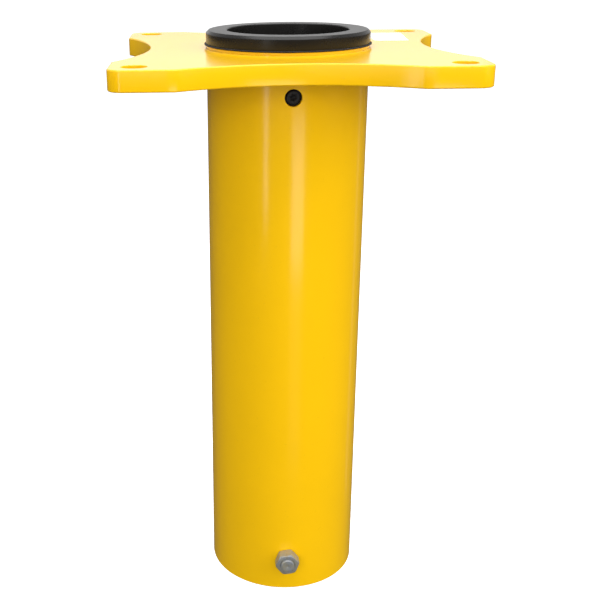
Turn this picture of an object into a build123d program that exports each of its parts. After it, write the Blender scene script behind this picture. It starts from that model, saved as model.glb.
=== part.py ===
from build123d import *
from math import cos, radians, sin
import os

# Retractable bollard, in millimetres. A flanged housing tube is set in the ground, and a
# post slides up out of it through a guide bushing. A key turns a rod inside the post, whose
# cam throws two lock bolts on to the ledge in the bushing's mouth.
# The origin is on the tube's axis at its bottom rim, +Z is up and the front is -Y.
# The post is modelled lowered, with its lock bolts drawn in and its handle folded down.

# Housing tube
tube_diameter = 168.3
tube_wall = 7.1
tube_length = 612.0
tube_rim_chamfer = 0.8

# Mounting plate
plate_side = 346.0
plate_thickness = 20.0
plate_corner_radius = 15.0
plate_edge_radius = 1.0
corner_flat = 62.0
waist_depth = 30.3
anchor_inset = 24.0
anchor_hole_diameter = 24.0
tube_rise = 3.0
plate_bore_clearance = 0.3
weld_bevel = 6.0

# Guide bushing, its gasket and its wiper
flange_overhang = 0.65
flange_thickness = 13.3
flange_chamfer = 2.8
ledge_width = 5.45
mouth_depth = 24.8
mouth_chamfer = 0.8
sleeve_length = 93.5
sleeve_clearance = 0.2
land_chamfer = 2.0
gasket_thickness = 1.5
gasket_overhang = 1.6
wiper_height = 6.0
wiper_depth = 4.2
wiper_below_ledge = 11.0
wiper_clearance = 0.35
wiper_seat_gap = 0.1

# Bushing screw, in the hole in the front of the tube
front_hole_diameter = 17.0
front_hole_below_plate = 20.2
bushing_screw_head = 13.0
bushing_screw_head_height = 5.0
bushing_screw_shank = 8.0
bushing_screw_length = 12.0
bushing_screw_socket = 5.0
spot_face_depth = 0.85

# Stop bolt across the foot of the tube
stop_axis = 40.5
stop_bolt_diameter = 16.0
stop_hole_clearance = 1.0
stop_bolt_stand_out = 16.2
stop_bolt_chamfer = 1.5
stop_head_height = 10.0
nut_across_flats = 24.0
nut_height = 13.0
nut_turn = 10.0
nut_seat_gap = 0.1
spacer_diameter = 26.9
spacer_bore_clearance = 0.7
spacer_end_gap = 0.3

# Post
post_diameter = 114.3
post_wall = 4.5
guide_clearance = 0.6
cap_drop = 20.8
band_thickness = 0.25
band_height = 60.0
band_below_cap = 60.0

# Post foot, guide ring and buffer
foot_clearance = 3.05
foot_thickness = 8.0
ring_height = 20.0
ring_clearance = 0.4
ring_fit = 0.1
ring_screw_diameter = 6.0
ring_screw_length = 20.0
buffer_diameter = 100.0
buffer_thickness = 12.0
buffer_gap = 0.4
buffer_bolt_diameter = 10.0
buffer_bolt_head = 17.0
buffer_bolt_head_height = 5.5
buffer_bolt_recess = 8.0
lift_stop_gap = 0.65

# Post cap, lift handle and pins
cap_flange_height = 14.0
cap_spigot_length = 36.0
cap_edge_radius = 3.0
spigot_clearance = 0.2
cap_screw_count = 3
cap_screw_drop = 18.0
handle_rod = 8.0
handle_reach = 30.0
handle_leg = 6.0
handle_offset = 14.0
handle_sink = 6.5
handle_eye = 12.0
handle_eye_width = 8.0
handle_gap = 0.5
handle_inner_gap = 1.3
pin_diameter = 5.0
pin_recess = 6.7
pin_inset = 10.0
pin_running_gap = 0.15
press_gap = 0.02
finger_scoop_radius = 13.0

# Lock: bolts, cam, block and cover
lock_bolt_diameter = 16.0
lock_bolt_clearance = 0.3
lock_seat_gap = 0.5
lock_tip_recess = 0.25
lock_bolt_chamfer = 1.0
lock_tip_gap = 0.5
lock_turn = 90.0
cam_pin_diameter = 5.0
cam_pin_circle = 32.0
cam_pin_tail = 5.5
cam_slot_gap = 0.4
cam_diameter = 56.0
cam_thickness = 7.0
cam_gap = 0.5
block_floor = 5.5
cam_floor_rise = 3.5
cover_thickness = 4.0
cover_screw_inset = 10.45
cover_screw_diameter = 5.0
cover_screw_length = 14.0

# Lock rod, key head and their bearings
rod_diameter = 14.0
rod_square = 9.0
rod_bearing_gap = 0.15
key_head_diameter = 18.0
key_head_length = 30.0
key_socket = 12.0
key_socket_depth = 10.0
key_head_sink = 2.0
key_collar_diameter = 23.0
key_collar_height = 3.5
key_collar_below = 10.0
key_rod_overlap = 12.0
key_pin_diameter = 4.0
bearing_wall = 3.0
bearing_lower_flange = 2.0
circlip_thickness = 1.5
circlip_groove = 0.8
circlip_width = 3.4

# Countersunk screws through the post's wall
wall_screw_head = 11.0
wall_screw_shank = 6.0
wall_screw_length = 14.0
wall_screw_rim = 0.4
wall_screw_sink = 0.35
wall_screw_gap = 0.1

# Socket screws, as shares of their shank
screw_head_ratio = 1.6
low_head_ratio = 0.6
socket_ratio = 0.45

# Radii
tube_radius = tube_diameter / 2
tube_inner = tube_radius - tube_wall
flange_radius = tube_radius + flange_overhang
post_radius = post_diameter / 2
post_inner = post_radius - post_wall
land_radius = post_radius + guide_clearance
mouth_radius = land_radius + ledge_width
sleeve_radius = tube_inner - sleeve_clearance
spigot_radius = post_inner - spigot_clearance
rod_radius = rod_diameter / 2
key_radius = key_head_diameter / 2
lock_radius = lock_bolt_diameter / 2
cam_pin_radius = cam_pin_diameter / 2
cam_pin_reach = cam_pin_circle / 2
handle_radius = handle_rod / 2
handle_inner = handle_reach - handle_radius - handle_inner_gap
ring_screw_reach = (post_radius + tube_inner) / 2
cover_screw_reach = spigot_radius - cover_screw_inset
lock_tip = post_radius - lock_tip_recess
lock_throw = mouth_radius - lock_tip_gap - lock_tip
pin_start = handle_reach - pin_inset
pin_end = (post_radius ** 2 - (handle_offset + pin_diameter / 2) ** 2) ** 0.5 - pin_recess
anchor_spacing = plate_side - 2 * anchor_inset

# Heights
plate_top = tube_length - tube_rise
plate_bottom = plate_top - plate_thickness
front_hole_height = plate_bottom - front_hole_below_plate
flange_bottom = tube_length + gasket_thickness
flange_top = flange_bottom + flange_thickness
ledge = flange_top - mouth_depth
sleeve_bottom = flange_bottom - sleeve_length
wiper_top = ledge - wiper_below_ledge
buffer_bottom = stop_axis + spacer_diameter / 2 + buffer_gap
foot_bottom = buffer_bottom + buffer_thickness
post_bottom = foot_bottom + foot_thickness
ring_top = post_bottom + ring_height
lift_travel = sleeve_bottom - ring_top - lift_stop_gap
lock_axis = ledge + lock_radius + lock_seat_gap - lift_travel
cap_top = flange_top - cap_drop
post_top = cap_top - cap_flange_height
cap_bottom = post_top - cap_spigot_length
handle_axis = cap_top - handle_sink
block_bottom = lock_axis - lock_radius - block_floor
cam_floor = lock_axis + lock_radius + cam_floor_rise
cam_bottom = cam_floor + cam_gap
cam_top = cam_bottom + cam_thickness
block_top = cam_top + cam_gap
cover_top = block_top + cover_thickness
key_head_top = cap_top - key_head_sink
key_head_bottom = key_head_top - key_head_length
rod_top = key_head_bottom + key_rod_overlap
collar_bottom = key_head_top - key_collar_below
bearing_top = collar_bottom - rod_bearing_gap
bearing_bottom = cap_bottom + bearing_wall


def washer(inner, outer, bottom, top):
    """A plain ring about the axis."""
    with BuildPart() as ring:
        with BuildSketch(Plane.XY.offset(bottom)):
            Circle(outer)
            Circle(inner, mode=Mode.SUBTRACT)
        extrude(amount=top - bottom)
    return ring.part


def wall_screw(height, gap=0.0, reach=wall_screw_rim):
    """A countersunk screw along +X, its head just inside the post's surface.

    With a gap and a long reach it is the tool that cuts the screw's hole.
    """
    face = post_radius - wall_screw_sink - wall_screw_rim
    head = wall_screw_head / 2
    shank = wall_screw_shank / 2
    with BuildPart() as screw:
        with BuildSketch(Plane.XZ):
            with BuildLine():
                Polyline(
                    (face + reach, height),
                    (face + reach, height + head + gap),
                    (face, height + head + gap),
                    (face - (head - shank), height + shank + gap),
                    (face - wall_screw_length - gap, height + shank + gap),
                    (face - wall_screw_length - gap, height),
                    close=True,
                )
            make_face()
        revolve(axis=Axis((0, 0, height), (1, 0, 0)))
        if gap == 0:
            with BuildSketch(Plane.YZ.offset(face + reach)):
                with Locations((0, height)):
                    RegularPolygon(wall_screw_shank * socket_ratio, 6)
            extrude(amount=-(head - shank), mode=Mode.SUBTRACT)
    return screw.part


def cap_head_screw(x, y, seat, head, head_height, shank, length, up=1):
    """A socket-head screw whose head stands on seat, upwards or, with up=-1, downwards."""
    with BuildPart() as screw:
        with BuildSketch(Plane.XY.offset(seat)):
            with Locations((x, y)):
                Circle(head / 2)
        extrude(amount=up * head_height)
        with BuildSketch(Plane.XY.offset(seat)):
            with Locations((x, y)):
                Circle(shank / 2)
        extrude(amount=-up * length)
        with BuildSketch(Plane.XY.offset(seat + up * head_height)):
            with Locations((x, y)):
                RegularPolygon(shank * socket_ratio, 6)
        extrude(amount=-up * head_height / 2, mode=Mode.SUBTRACT)
    return screw.part


# ---------------------------------------------------------------- housing

with BuildPart() as housing_tube:
    with BuildSketch():
        Circle(tube_radius)
        Circle(tube_inner, mode=Mode.SUBTRACT)
    extrude(amount=tube_length)
    rims = housing_tube.edges().filter_by(GeomType.CIRCLE)
    chamfer(rims.group_by(Axis.Z)[0], tube_rim_chamfer)
    with BuildSketch(Plane.XZ):
        with Locations((0, stop_axis)):
            Circle(stop_bolt_diameter / 2 + stop_hole_clearance)
    extrude(amount=tube_diameter, both=True, mode=Mode.SUBTRACT)
    with BuildSketch(Plane.XZ):
        with Locations((0, front_hole_height)):
            Circle(front_hole_diameter / 2)
    extrude(amount=tube_diameter, mode=Mode.SUBTRACT)

# The weld fills the bevel under the plate, flush with its underside
plate_bore = tube_radius + plate_bore_clearance
with BuildPart() as plate_weld:
    with BuildSketch(Plane.XZ):
        with BuildLine():
            Polyline(
                (tube_radius, plate_bottom),
                (plate_bore + weld_bevel, plate_bottom),
                (plate_bore, plate_bottom + weld_bevel),
                (tube_radius, plate_bottom + weld_bevel),
                close=True,
            )
        make_face()
    revolve(axis=Axis.Z)

# Each side of the plate is drawn in by one arc between its straight ends
waist_half = plate_side / 2 - corner_flat
waist_radius = (waist_half ** 2 + waist_depth ** 2) / (2 * waist_depth)
waist_centre = plate_side / 2 - waist_depth + waist_radius
with BuildPart() as mounting_plate:
    with BuildSketch(Plane.XY.offset(plate_bottom)) as plate_outline:
        Rectangle(plate_side, plate_side)
        fillet(plate_outline.vertices(), plate_corner_radius)
        with PolarLocations(waist_centre, 4):
            Circle(waist_radius, mode=Mode.SUBTRACT)
    extrude(amount=plate_thickness)
    fillet(mounting_plate.faces().sort_by(Axis.Z)[-1].edges(), plate_edge_radius)
    fillet(mounting_plate.faces().sort_by(Axis.Z)[0].edges(), plate_edge_radius)
    with BuildSketch(Plane.XY.offset(plate_bottom)):
        Circle(plate_bore)
        with GridLocations(anchor_spacing, anchor_spacing, 2, 2):
            Circle(anchor_hole_diameter / 2)
    extrude(amount=plate_thickness, mode=Mode.SUBTRACT)
    add(plate_weld.part, mode=Mode.SUBTRACT)

with BuildPart() as guide_bushing:
    with BuildSketch(Plane.XZ):
        with BuildLine():
            Polyline(
                (sleeve_radius, sleeve_bottom),
                (sleeve_radius, flange_bottom),
                (flange_radius, flange_bottom),
                (flange_radius, flange_top - flange_chamfer),
                (flange_radius - flange_chamfer, flange_top),
                (mouth_radius + mouth_chamfer, flange_top),
                (mouth_radius, flange_top - mouth_chamfer),
                (mouth_radius, ledge),
                (land_radius, ledge),
                (land_radius, wiper_top),
                (land_radius + wiper_depth, wiper_top),
                (land_radius + wiper_depth, wiper_top - wiper_height),
                (land_radius, wiper_top - wiper_height),
                (land_radius, sleeve_bottom + land_chamfer),
                (land_radius + land_chamfer, sleeve_bottom),
                close=True,
            )
        make_face()
    revolve(axis=Axis.Z)
    with BuildSketch(Plane.XZ.offset(sleeve_radius - spot_face_depth)):
        with Locations((0, front_hole_height)):
            Circle(bushing_screw_head / 2 + spot_face_depth)
    extrude(amount=tube_wall, mode=Mode.SUBTRACT)
    with BuildSketch(Plane.XZ.offset(sleeve_radius - spot_face_depth)):
        with Locations((0, front_hole_height)):
            Circle(bushing_screw_shank / 2 + press_gap)
    extrude(amount=-bushing_screw_length, mode=Mode.SUBTRACT)

bushing_gasket = washer(
    sleeve_radius + press_gap,
    flange_radius + gasket_overhang,
    tube_length,
    flange_bottom,
)

wiper_seal = washer(
    post_radius + wiper_clearance,
    land_radius + wiper_depth - wiper_seat_gap,
    wiper_top - wiper_height + wiper_seat_gap,
    wiper_top - wiper_seat_gap,
)

with BuildPart() as bushing_screw:
    with BuildSketch(Plane.XZ.offset(sleeve_radius - spot_face_depth)):
        with Locations((0, front_hole_height)):
            Circle(bushing_screw_head / 2)
    extrude(amount=bushing_screw_head_height)
    head_face = bushing_screw.faces().sort_by(Axis.Y)[0]
    chamfer(head_face.edges(), spot_face_depth)
    with BuildSketch(Plane.XZ.offset(sleeve_radius - spot_face_depth + bushing_screw_head_height)):
        with Locations((0, front_hole_height)):
            RegularPolygon(bushing_screw_socket / 2, 6, major_radius=False)
    extrude(amount=-bushing_screw_head_height / 2, mode=Mode.SUBTRACT)
    with BuildSketch(Plane.XZ.offset(sleeve_radius - spot_face_depth)):
        with Locations((0, front_hole_height)):
            Circle(bushing_screw_shank / 2)
    extrude(amount=-(bushing_screw_length - cam_gap))

# The stop bolt's head is at the back and its nut at the front, each against the tube's crown
stop_seat = tube_radius + nut_seat_gap
with BuildPart() as stop_bolt:
    with BuildSketch(Plane.XZ.offset(-stop_seat)):
        with Locations((0, stop_axis)):
            Circle(stop_bolt_diameter / 2)
    extrude(amount=stop_seat + tube_radius + stop_bolt_stand_out)
    chamfer(stop_bolt.edges().sort_by(Axis.Y)[0], stop_bolt_chamfer)
    with BuildSketch(Plane.XZ.offset(-stop_seat)):
        with Locations((0, stop_axis)):
            RegularPolygon(nut_across_flats / 2, 6, major_radius=False)
    extrude(amount=-stop_head_height)

with BuildPart() as stop_nut:
    with BuildSketch(Plane.XZ.offset(stop_seat)):
        with Locations((0, stop_axis)):
            RegularPolygon(nut_across_flats / 2, 6, major_radius=False, rotation=nut_turn)
            Circle(stop_bolt_diameter / 2 + press_gap, mode=Mode.SUBTRACT)
    extrude(amount=nut_height)

spacer_half = (tube_inner ** 2 - spacer_diameter ** 2 / 4) ** 0.5 - spacer_end_gap
with BuildPart() as stop_spacer:
    with BuildSketch(Plane.XZ):
        with Locations((0, stop_axis)):
            Circle(spacer_diameter / 2)
            Circle(stop_bolt_diameter / 2 + spacer_bore_clearance, mode=Mode.SUBTRACT)
    extrude(amount=spacer_half, both=True)

# ---------------------------------------------------------------- post

cap_screw_height = post_top - cap_screw_drop
with BuildPart() as post_tube:
    with BuildSketch(Plane.XY.offset(post_bottom)):
        Circle(post_radius)
        Circle(post_inner, mode=Mode.SUBTRACT)
    extrude(amount=post_top - post_bottom)
    with PolarLocations(0, cap_screw_count, start_angle=90):
        add(wall_screw(cap_screw_height, wall_screw_gap, post_wall), mode=Mode.SUBTRACT)
    with PolarLocations(0, 2, start_angle=90):
        add(wall_screw(lock_axis, wall_screw_gap, post_wall), mode=Mode.SUBTRACT)
    with BuildSketch(Plane.YZ):
        with Locations((0, lock_axis)):
            Circle(lock_radius + lock_bolt_clearance)
    extrude(amount=post_diameter, both=True, mode=Mode.SUBTRACT)

reflective_band = washer(
    post_radius + press_gap,
    post_radius + band_thickness,
    cap_top - band_below_cap - band_height,
    cap_top - band_below_cap,
)

with BuildPart() as post_cap:
    with BuildSketch(Plane.XY.offset(cap_bottom)):
        Circle(spigot_radius)
    extrude(amount=cap_spigot_length)
    with BuildSketch(Plane.XY.offset(post_top)):
        Circle(post_radius)
    extrude(amount=cap_flange_height)
    fillet(post_cap.faces().sort_by(Axis.Z)[-1].edges(), cap_edge_radius)
    # Channel for the folded handle, a pocket for each eye and a scoop for the fingers
    with BuildSketch(Plane.XY.offset(handle_axis - handle_radius - handle_gap)):
        with Locations((0, handle_leg - handle_offset)):
            Circle(handle_reach + handle_radius + handle_gap)
        with Locations((0, handle_leg - handle_offset - post_radius)):
            Rectangle(post_diameter, post_diameter, mode=Mode.SUBTRACT)
        with Locations((0, handle_leg / 2 - handle_offset)):
            Rectangle(2 * (handle_reach + handle_radius + handle_gap), handle_leg)
        with Locations((0, handle_leg - handle_offset)):
            Circle(handle_inner, mode=Mode.SUBTRACT)
        with Locations((0, handle_leg - handle_offset - handle_reach)):
            Rectangle(2 * handle_inner, 2 * handle_reach, mode=Mode.SUBTRACT)
        with Locations((0, handle_reach + handle_leg - handle_offset)):
            Circle(finger_scoop_radius)
    extrude(amount=cap_flange_height, mode=Mode.SUBTRACT)
    with BuildSketch(Plane.XY.offset(handle_axis - handle_eye / 2 - handle_gap)):
        with Locations((handle_reach, -handle_offset), (-handle_reach, -handle_offset)):
            Rectangle(handle_eye_width + 2 * handle_gap, handle_eye + 2 * handle_gap)
    extrude(amount=cap_flange_height, mode=Mode.SUBTRACT)
    # Drilled from the side for the handle's pins
    with BuildSketch(Plane.YZ.offset(pin_start)):
        with Locations((-handle_offset, handle_axis)):
            Circle(pin_diameter / 2 + press_gap)
    extrude(amount=post_radius, mode=Mode.SUBTRACT)
    with BuildSketch(Plane.YZ.offset(-pin_start)):
        with Locations((-handle_offset, handle_axis)):
            Circle(pin_diameter / 2 + press_gap)
    extrude(amount=-post_radius, mode=Mode.SUBTRACT)
    # Bore for the bearing, open at the bottom for the rod, and a wider well for the key head
    with BuildSketch(Plane.XY.offset(cap_bottom)):
        Circle(key_radius + rod_bearing_gap + bearing_wall + press_gap)
    extrude(amount=cap_top - cap_bottom, mode=Mode.SUBTRACT)
    with PolarLocations(0, cap_screw_count, start_angle=90):
        add(wall_screw(cap_screw_height, press_gap, post_wall), mode=Mode.SUBTRACT)

with BuildPart() as cap_screws:
    with PolarLocations(0, cap_screw_count, start_angle=90):
        add(wall_screw(cap_screw_height))

with BuildPart() as post_foot:
    with BuildSketch(Plane.XY.offset(foot_bottom)):
        Circle(tube_inner - foot_clearance)
        Circle(buffer_bolt_diameter / 2 + press_gap, mode=Mode.SUBTRACT)
        with PolarLocations(ring_screw_reach, 4, start_angle=45):
            Circle(ring_screw_diameter / 2 + wall_screw_gap, mode=Mode.SUBTRACT)
    extrude(amount=foot_thickness)

with BuildPart() as guide_ring:
    add(washer(post_radius + ring_fit, tube_inner - ring_clearance, post_bottom, ring_top))
    chamfer(guide_ring.edges().filter_by(GeomType.CIRCLE).sort_by(SortBy.RADIUS)[-2:], land_chamfer / 2)
    with BuildSketch(Plane.XY.offset(post_bottom)):
        with PolarLocations(ring_screw_reach, 4, start_angle=45):
            Circle(ring_screw_diameter / 2 + press_gap)
    extrude(amount=ring_screw_length - foot_thickness + cam_gap, mode=Mode.SUBTRACT)

with BuildPart() as guide_ring_screws:
    with PolarLocations(0, 4, start_angle=45):
        add(
            cap_head_screw(
                ring_screw_reach,
                0,
                foot_bottom,
                ring_screw_diameter * screw_head_ratio,
                ring_screw_diameter * low_head_ratio,
                ring_screw_diameter,
                ring_screw_length,
                up=-1,
            )
        )

with BuildPart() as foot_buffer:
    with BuildSketch(Plane.XY.offset(buffer_bottom)):
        Circle(buffer_diameter / 2)
        Circle(buffer_bolt_diameter / 2 + wall_screw_gap, mode=Mode.SUBTRACT)
    extrude(amount=buffer_thickness)
    with BuildSketch(Plane.XY.offset(buffer_bottom)):
        Circle(buffer_bolt_head / 2 + cam_gap)
    extrude(amount=buffer_bolt_recess, mode=Mode.SUBTRACT)

with BuildPart() as buffer_bolt:
    add(
        cap_head_screw(
            0,
            0,
            buffer_bottom + buffer_bolt_recess,
            buffer_bolt_head,
            buffer_bolt_head_height,
            buffer_bolt_diameter,
            post_bottom - buffer_bottom - buffer_bolt_recess,
            up=-1,
        )
    )

# ---------------------------------------------------------------- lock

with BuildPart() as lock_block:
    with BuildSketch(Plane.XY.offset(block_bottom)):
        Circle(spigot_radius)
    extrude(amount=block_top - block_bottom)
    with BuildSketch(Plane.XY.offset(cam_floor)):
        Circle(cam_diameter / 2 + cam_gap)
    extrude(amount=block_top - cam_floor, mode=Mode.SUBTRACT)
    with BuildSketch(Plane.YZ):
        with Locations((0, lock_axis)):
            Circle(lock_radius + lock_bolt_clearance)
    extrude(amount=post_radius, both=True, mode=Mode.SUBTRACT)
    # A slot over each bolt lets its cam pin through the floor
    slot_middle = cam_pin_reach + lock_throw / 2
    slot_width = cam_pin_diameter + 2 * cam_gap
    with BuildSketch(Plane.XY.offset(lock_axis)):
        with Locations((slot_middle, 0), (-slot_middle, 0)):
            SlotCenterToCenter(lock_throw, slot_width)
    extrude(amount=cam_floor - lock_axis, mode=Mode.SUBTRACT)
    with PolarLocations(0, 2, start_angle=90):
        add(wall_screw(lock_axis, press_gap, post_wall), mode=Mode.SUBTRACT)
    with BuildSketch(Plane.XY.offset(block_top)):
        with PolarLocations(cover_screw_reach, 4, start_angle=45):
            Circle(cover_screw_diameter / 2 + press_gap)
    extrude(amount=-(cover_screw_length - cover_thickness + cam_gap), mode=Mode.SUBTRACT)

with BuildPart() as lock_block_screws:
    with PolarLocations(0, 2, start_angle=90):
        add(wall_screw(lock_axis))

cover_bore = rod_radius + rod_bearing_gap + bearing_wall
with BuildPart() as cam_cover:
    with BuildSketch(Plane.XY.offset(block_top)):
        Circle(spigot_radius)
        Circle(cover_bore + press_gap, mode=Mode.SUBTRACT)
        with PolarLocations(cover_screw_reach, 4, start_angle=45):
            Circle(cover_screw_diameter / 2 + wall_screw_gap, mode=Mode.SUBTRACT)
    extrude(amount=cover_thickness)

with BuildPart() as cam_cover_screws:
    with PolarLocations(0, 4, start_angle=45):
        add(
            cap_head_screw(
                cover_screw_reach,
                0,
                cover_top,
                cover_screw_diameter * screw_head_ratio,
                cover_screw_diameter,
                cover_screw_diameter,
                cover_screw_length,
            )
        )

with BuildPart() as lower_rod_bearing:
    add(washer(rod_radius + rod_bearing_gap, cover_bore, block_top, cover_top))
    bearing_flange_top = cover_top + bearing_lower_flange
    add(washer(rod_radius + rod_bearing_gap, cover_bore + bearing_wall, cover_top, bearing_flange_top))

upper_rod_bearing = washer(
    key_radius + rod_bearing_gap,
    key_radius + rod_bearing_gap + bearing_wall,
    bearing_bottom,
    bearing_top,
)

# Each cam slot is a stretch of a spiral, so that equal turns give equal throws
throw_rate = lock_throw / radians(lock_turn)
slot_half_width = cam_pin_radius + cam_slot_gap
slot_margin = slot_half_width / cam_pin_reach


def spiral_point(angle, offset):
    """A point beside the slot's middle line, which is cam_pin_reach out at angle 0."""
    reach = cam_pin_reach - throw_rate * angle + offset
    return (reach * cos(angle), reach * sin(angle))


slot_steps = 12
slot_start = -radians(lock_turn) - slot_margin
slot_angles = [slot_start + (slot_margin - slot_start) * i / slot_steps for i in range(slot_steps + 1)]
with BuildPart() as lock_cam:
    with BuildSketch(Plane.XY.offset(cam_bottom)):
        Circle(cam_diameter / 2)
        Rectangle(rod_square + 2 * press_gap, rod_square + 2 * press_gap, mode=Mode.SUBTRACT)
        with PolarLocations(0, 2):
            with BuildSketch(mode=Mode.PRIVATE) as spiral_slot:
                with BuildLine():
                    inner = Spline([spiral_point(a, -slot_half_width) for a in slot_angles])
                    outer = Spline([spiral_point(a, slot_half_width) for a in slot_angles])
                    Line(inner @ 0, outer @ 0)
                    Line(inner @ 1, outer @ 1)
                make_face()
            add(spiral_slot.sketch, mode=Mode.SUBTRACT)
    extrude(amount=cam_thickness)

circlip_top = bearing_bottom - rod_bearing_gap
with BuildPart() as lock_rod:
    with BuildSketch(Plane.XY.offset(cam_top)):
        Circle(rod_radius)
    extrude(amount=rod_top - cam_top)
    with BuildSketch(Plane.XY.offset(cam_bottom)):
        Rectangle(rod_square, rod_square)
    extrude(amount=cam_thickness)
    with BuildSketch(Plane.XY.offset(circlip_top)):
        Circle(rod_radius + circlip_groove)
        Circle(rod_radius - circlip_groove, mode=Mode.SUBTRACT)
    extrude(amount=-circlip_thickness - 2 * press_gap, mode=Mode.SUBTRACT)
    with BuildSketch(Plane.YZ):
        with Locations((0, (key_head_bottom + rod_top) / 2)):
            Circle(key_pin_diameter / 2 + press_gap)
    extrude(amount=key_radius, both=True, mode=Mode.SUBTRACT)

rod_circlip = washer(
    rod_radius - circlip_groove + press_gap,
    rod_radius + circlip_width,
    circlip_top - circlip_thickness - press_gap,
    circlip_top - press_gap,
)

with BuildPart() as key_head:
    with BuildSketch(Plane.XY.offset(key_head_bottom)):
        Circle(key_radius)
    extrude(amount=key_head_length)
    chamfer(key_head.edges().sort_by(Axis.Z)[-1], mouth_chamfer)
    with BuildSketch(Plane.XY.offset(collar_bottom)):
        Circle(key_collar_diameter / 2)
    extrude(amount=key_collar_height)
    with BuildSketch(Plane.XY.offset(key_head_top)):
        RegularPolygon(key_socket / 2, 6, major_radius=False)
    extrude(amount=-key_socket_depth, mode=Mode.SUBTRACT)
    with BuildSketch(Plane.XY.offset(key_head_bottom)):
        Circle(rod_radius + press_gap)
    extrude(amount=key_rod_overlap, mode=Mode.SUBTRACT)
    with BuildSketch(Plane.YZ):
        with Locations((0, (key_head_bottom + rod_top) / 2)):
            Circle(key_pin_diameter / 2 + press_gap)
    extrude(amount=key_radius, both=True, mode=Mode.SUBTRACT)

with BuildPart() as key_pin:
    with BuildSketch(Plane.YZ):
        with Locations((0, (key_head_bottom + rod_top) / 2)):
            Circle(key_pin_diameter / 2)
    extrude(amount=key_radius - cam_slot_gap, both=True)


def lock_bolt(side):
    """A round lock bolt along +X, or along -X with side=-1."""
    inner_end = cam_pin_reach - cam_pin_tail
    with BuildPart() as bolt:
        with BuildSketch(Plane.YZ.offset(side * inner_end)):
            with Locations((0, lock_axis)):
                Circle(lock_radius)
        extrude(amount=side * (lock_tip - inner_end))
        chamfer(bolt.edges().filter_by(GeomType.CIRCLE).sort_by(Axis.X)[-1 if side > 0 else 0], lock_bolt_chamfer)
        with BuildSketch(Plane.XY.offset(lock_axis)):
            with Locations((side * cam_pin_reach, 0)):
                Circle(cam_pin_radius + press_gap)
        extrude(amount=lock_bolt_diameter, mode=Mode.SUBTRACT)
    return bolt.part


def cam_pin(side):
    """The pin that stands in the bolt and runs in the cam's slot."""
    with BuildPart() as pin:
        with BuildSketch(Plane.XY.offset(lock_axis)):
            with Locations((side * cam_pin_reach, 0)):
                Circle(cam_pin_radius)
        extrude(amount=cam_top - cam_gap - lock_axis)
    return pin.part


# ---------------------------------------------------------------- lift handle

with BuildPart() as lift_handle:
    with BuildLine() as handle_path:
        shoulder = handle_leg - handle_offset
        Line((handle_reach, -handle_offset, handle_axis), (handle_reach, shoulder, handle_axis))
        ThreePointArc(
            (handle_reach, shoulder, handle_axis),
            (0, shoulder + handle_reach, handle_axis),
            (-handle_reach, shoulder, handle_axis),
        )
        Line((-handle_reach, shoulder, handle_axis), (-handle_reach, -handle_offset, handle_axis))
    with BuildSketch(Plane(origin=(handle_reach, -handle_offset, handle_axis), z_dir=(0, 1, 0))):
        Circle(handle_radius)
    sweep(path=handle_path.wires()[0])
    for side in (1, -1):
        with BuildSketch(Plane.YZ.offset(side * handle_reach)):
            with Locations((-handle_offset, handle_axis)):
                Circle(handle_eye / 2)
        extrude(amount=handle_eye_width / 2, both=True)
    with BuildSketch(Plane.YZ):
        with Locations((-handle_offset, handle_axis)):
            Circle(pin_diameter / 2 + pin_running_gap)
    extrude(amount=post_radius, both=True, mode=Mode.SUBTRACT)

with BuildPart() as handle_pins:
    for side in (1, -1):
        with BuildSketch(Plane.YZ.offset(side * (pin_start + press_gap))):
            with Locations((-handle_offset, handle_axis)):
                Circle(pin_diameter / 2)
        extrude(amount=side * (pin_end - pin_start))

# ---------------------------------------------------------------- files

pieces = {
    "housing_tube": housing_tube.part,
    "mounting_plate": mounting_plate.part,
    "plate_weld": plate_weld.part,
    "guide_bushing": guide_bushing.part,
    "bushing_gasket": bushing_gasket,
    "wiper_seal": wiper_seal,
    "bushing_screw": bushing_screw.part,
    "stop_bolt": stop_bolt.part,
    "stop_nut": stop_nut.part,
    "stop_spacer": stop_spacer.part,
    "post_tube": post_tube.part,
    "reflective_band": reflective_band,
    "post_cap": post_cap.part,
    "cap_screws": cap_screws.part,
    "post_foot": post_foot.part,
    "guide_ring": guide_ring.part,
    "guide_ring_screws": guide_ring_screws.part,
    "foot_buffer": foot_buffer.part,
    "buffer_bolt": buffer_bolt.part,
    "lock_block": lock_block.part,
    "lock_block_screws": lock_block_screws.part,
    "cam_cover": cam_cover.part,
    "cam_cover_screws": cam_cover_screws.part,
    "lower_rod_bearing": lower_rod_bearing.part,
    "upper_rod_bearing": upper_rod_bearing,
    "lock_cam": lock_cam.part,
    "lock_rod": lock_rod.part,
    "rod_circlip": rod_circlip,
    "key_head": key_head.part,
    "key_pin": key_pin.part,
    "lock_bolt_right": lock_bolt(1),
    "lock_bolt_left": lock_bolt(-1),
    "cam_pin_right": cam_pin(1),
    "cam_pin_left": cam_pin(-1),
    "lift_handle": lift_handle.part,
    "handle_pins": handle_pins.part,
}

os.makedirs("parts", exist_ok=True)
for name, piece in pieces.items():
    piece.label = name
    export_step(piece, f"parts/{name}.step")

print("lift travel", lift_travel, "lock axis", lock_axis, "throw per radian", throw_rate)
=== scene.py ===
"""Retractable bollard: its finished surfaces, built around the fixed frame of its CAD parts.

Everything is in metres. The housing tube stands on the floor at the origin, its front is -Y,
and its top carries the mounting plate, the guide bushing and, drawn down inside it, the post.
"""

from math import asin, atan2, ceil, cos, hypot, pi, radians, sin, sqrt, tan

import bmesh
import bpy
from bpy.props import FloatProperty, FloatVectorProperty, PointerProperty
from mathutils import Matrix, Vector
from mathutils.geometry import delaunay_2d_cdt


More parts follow.
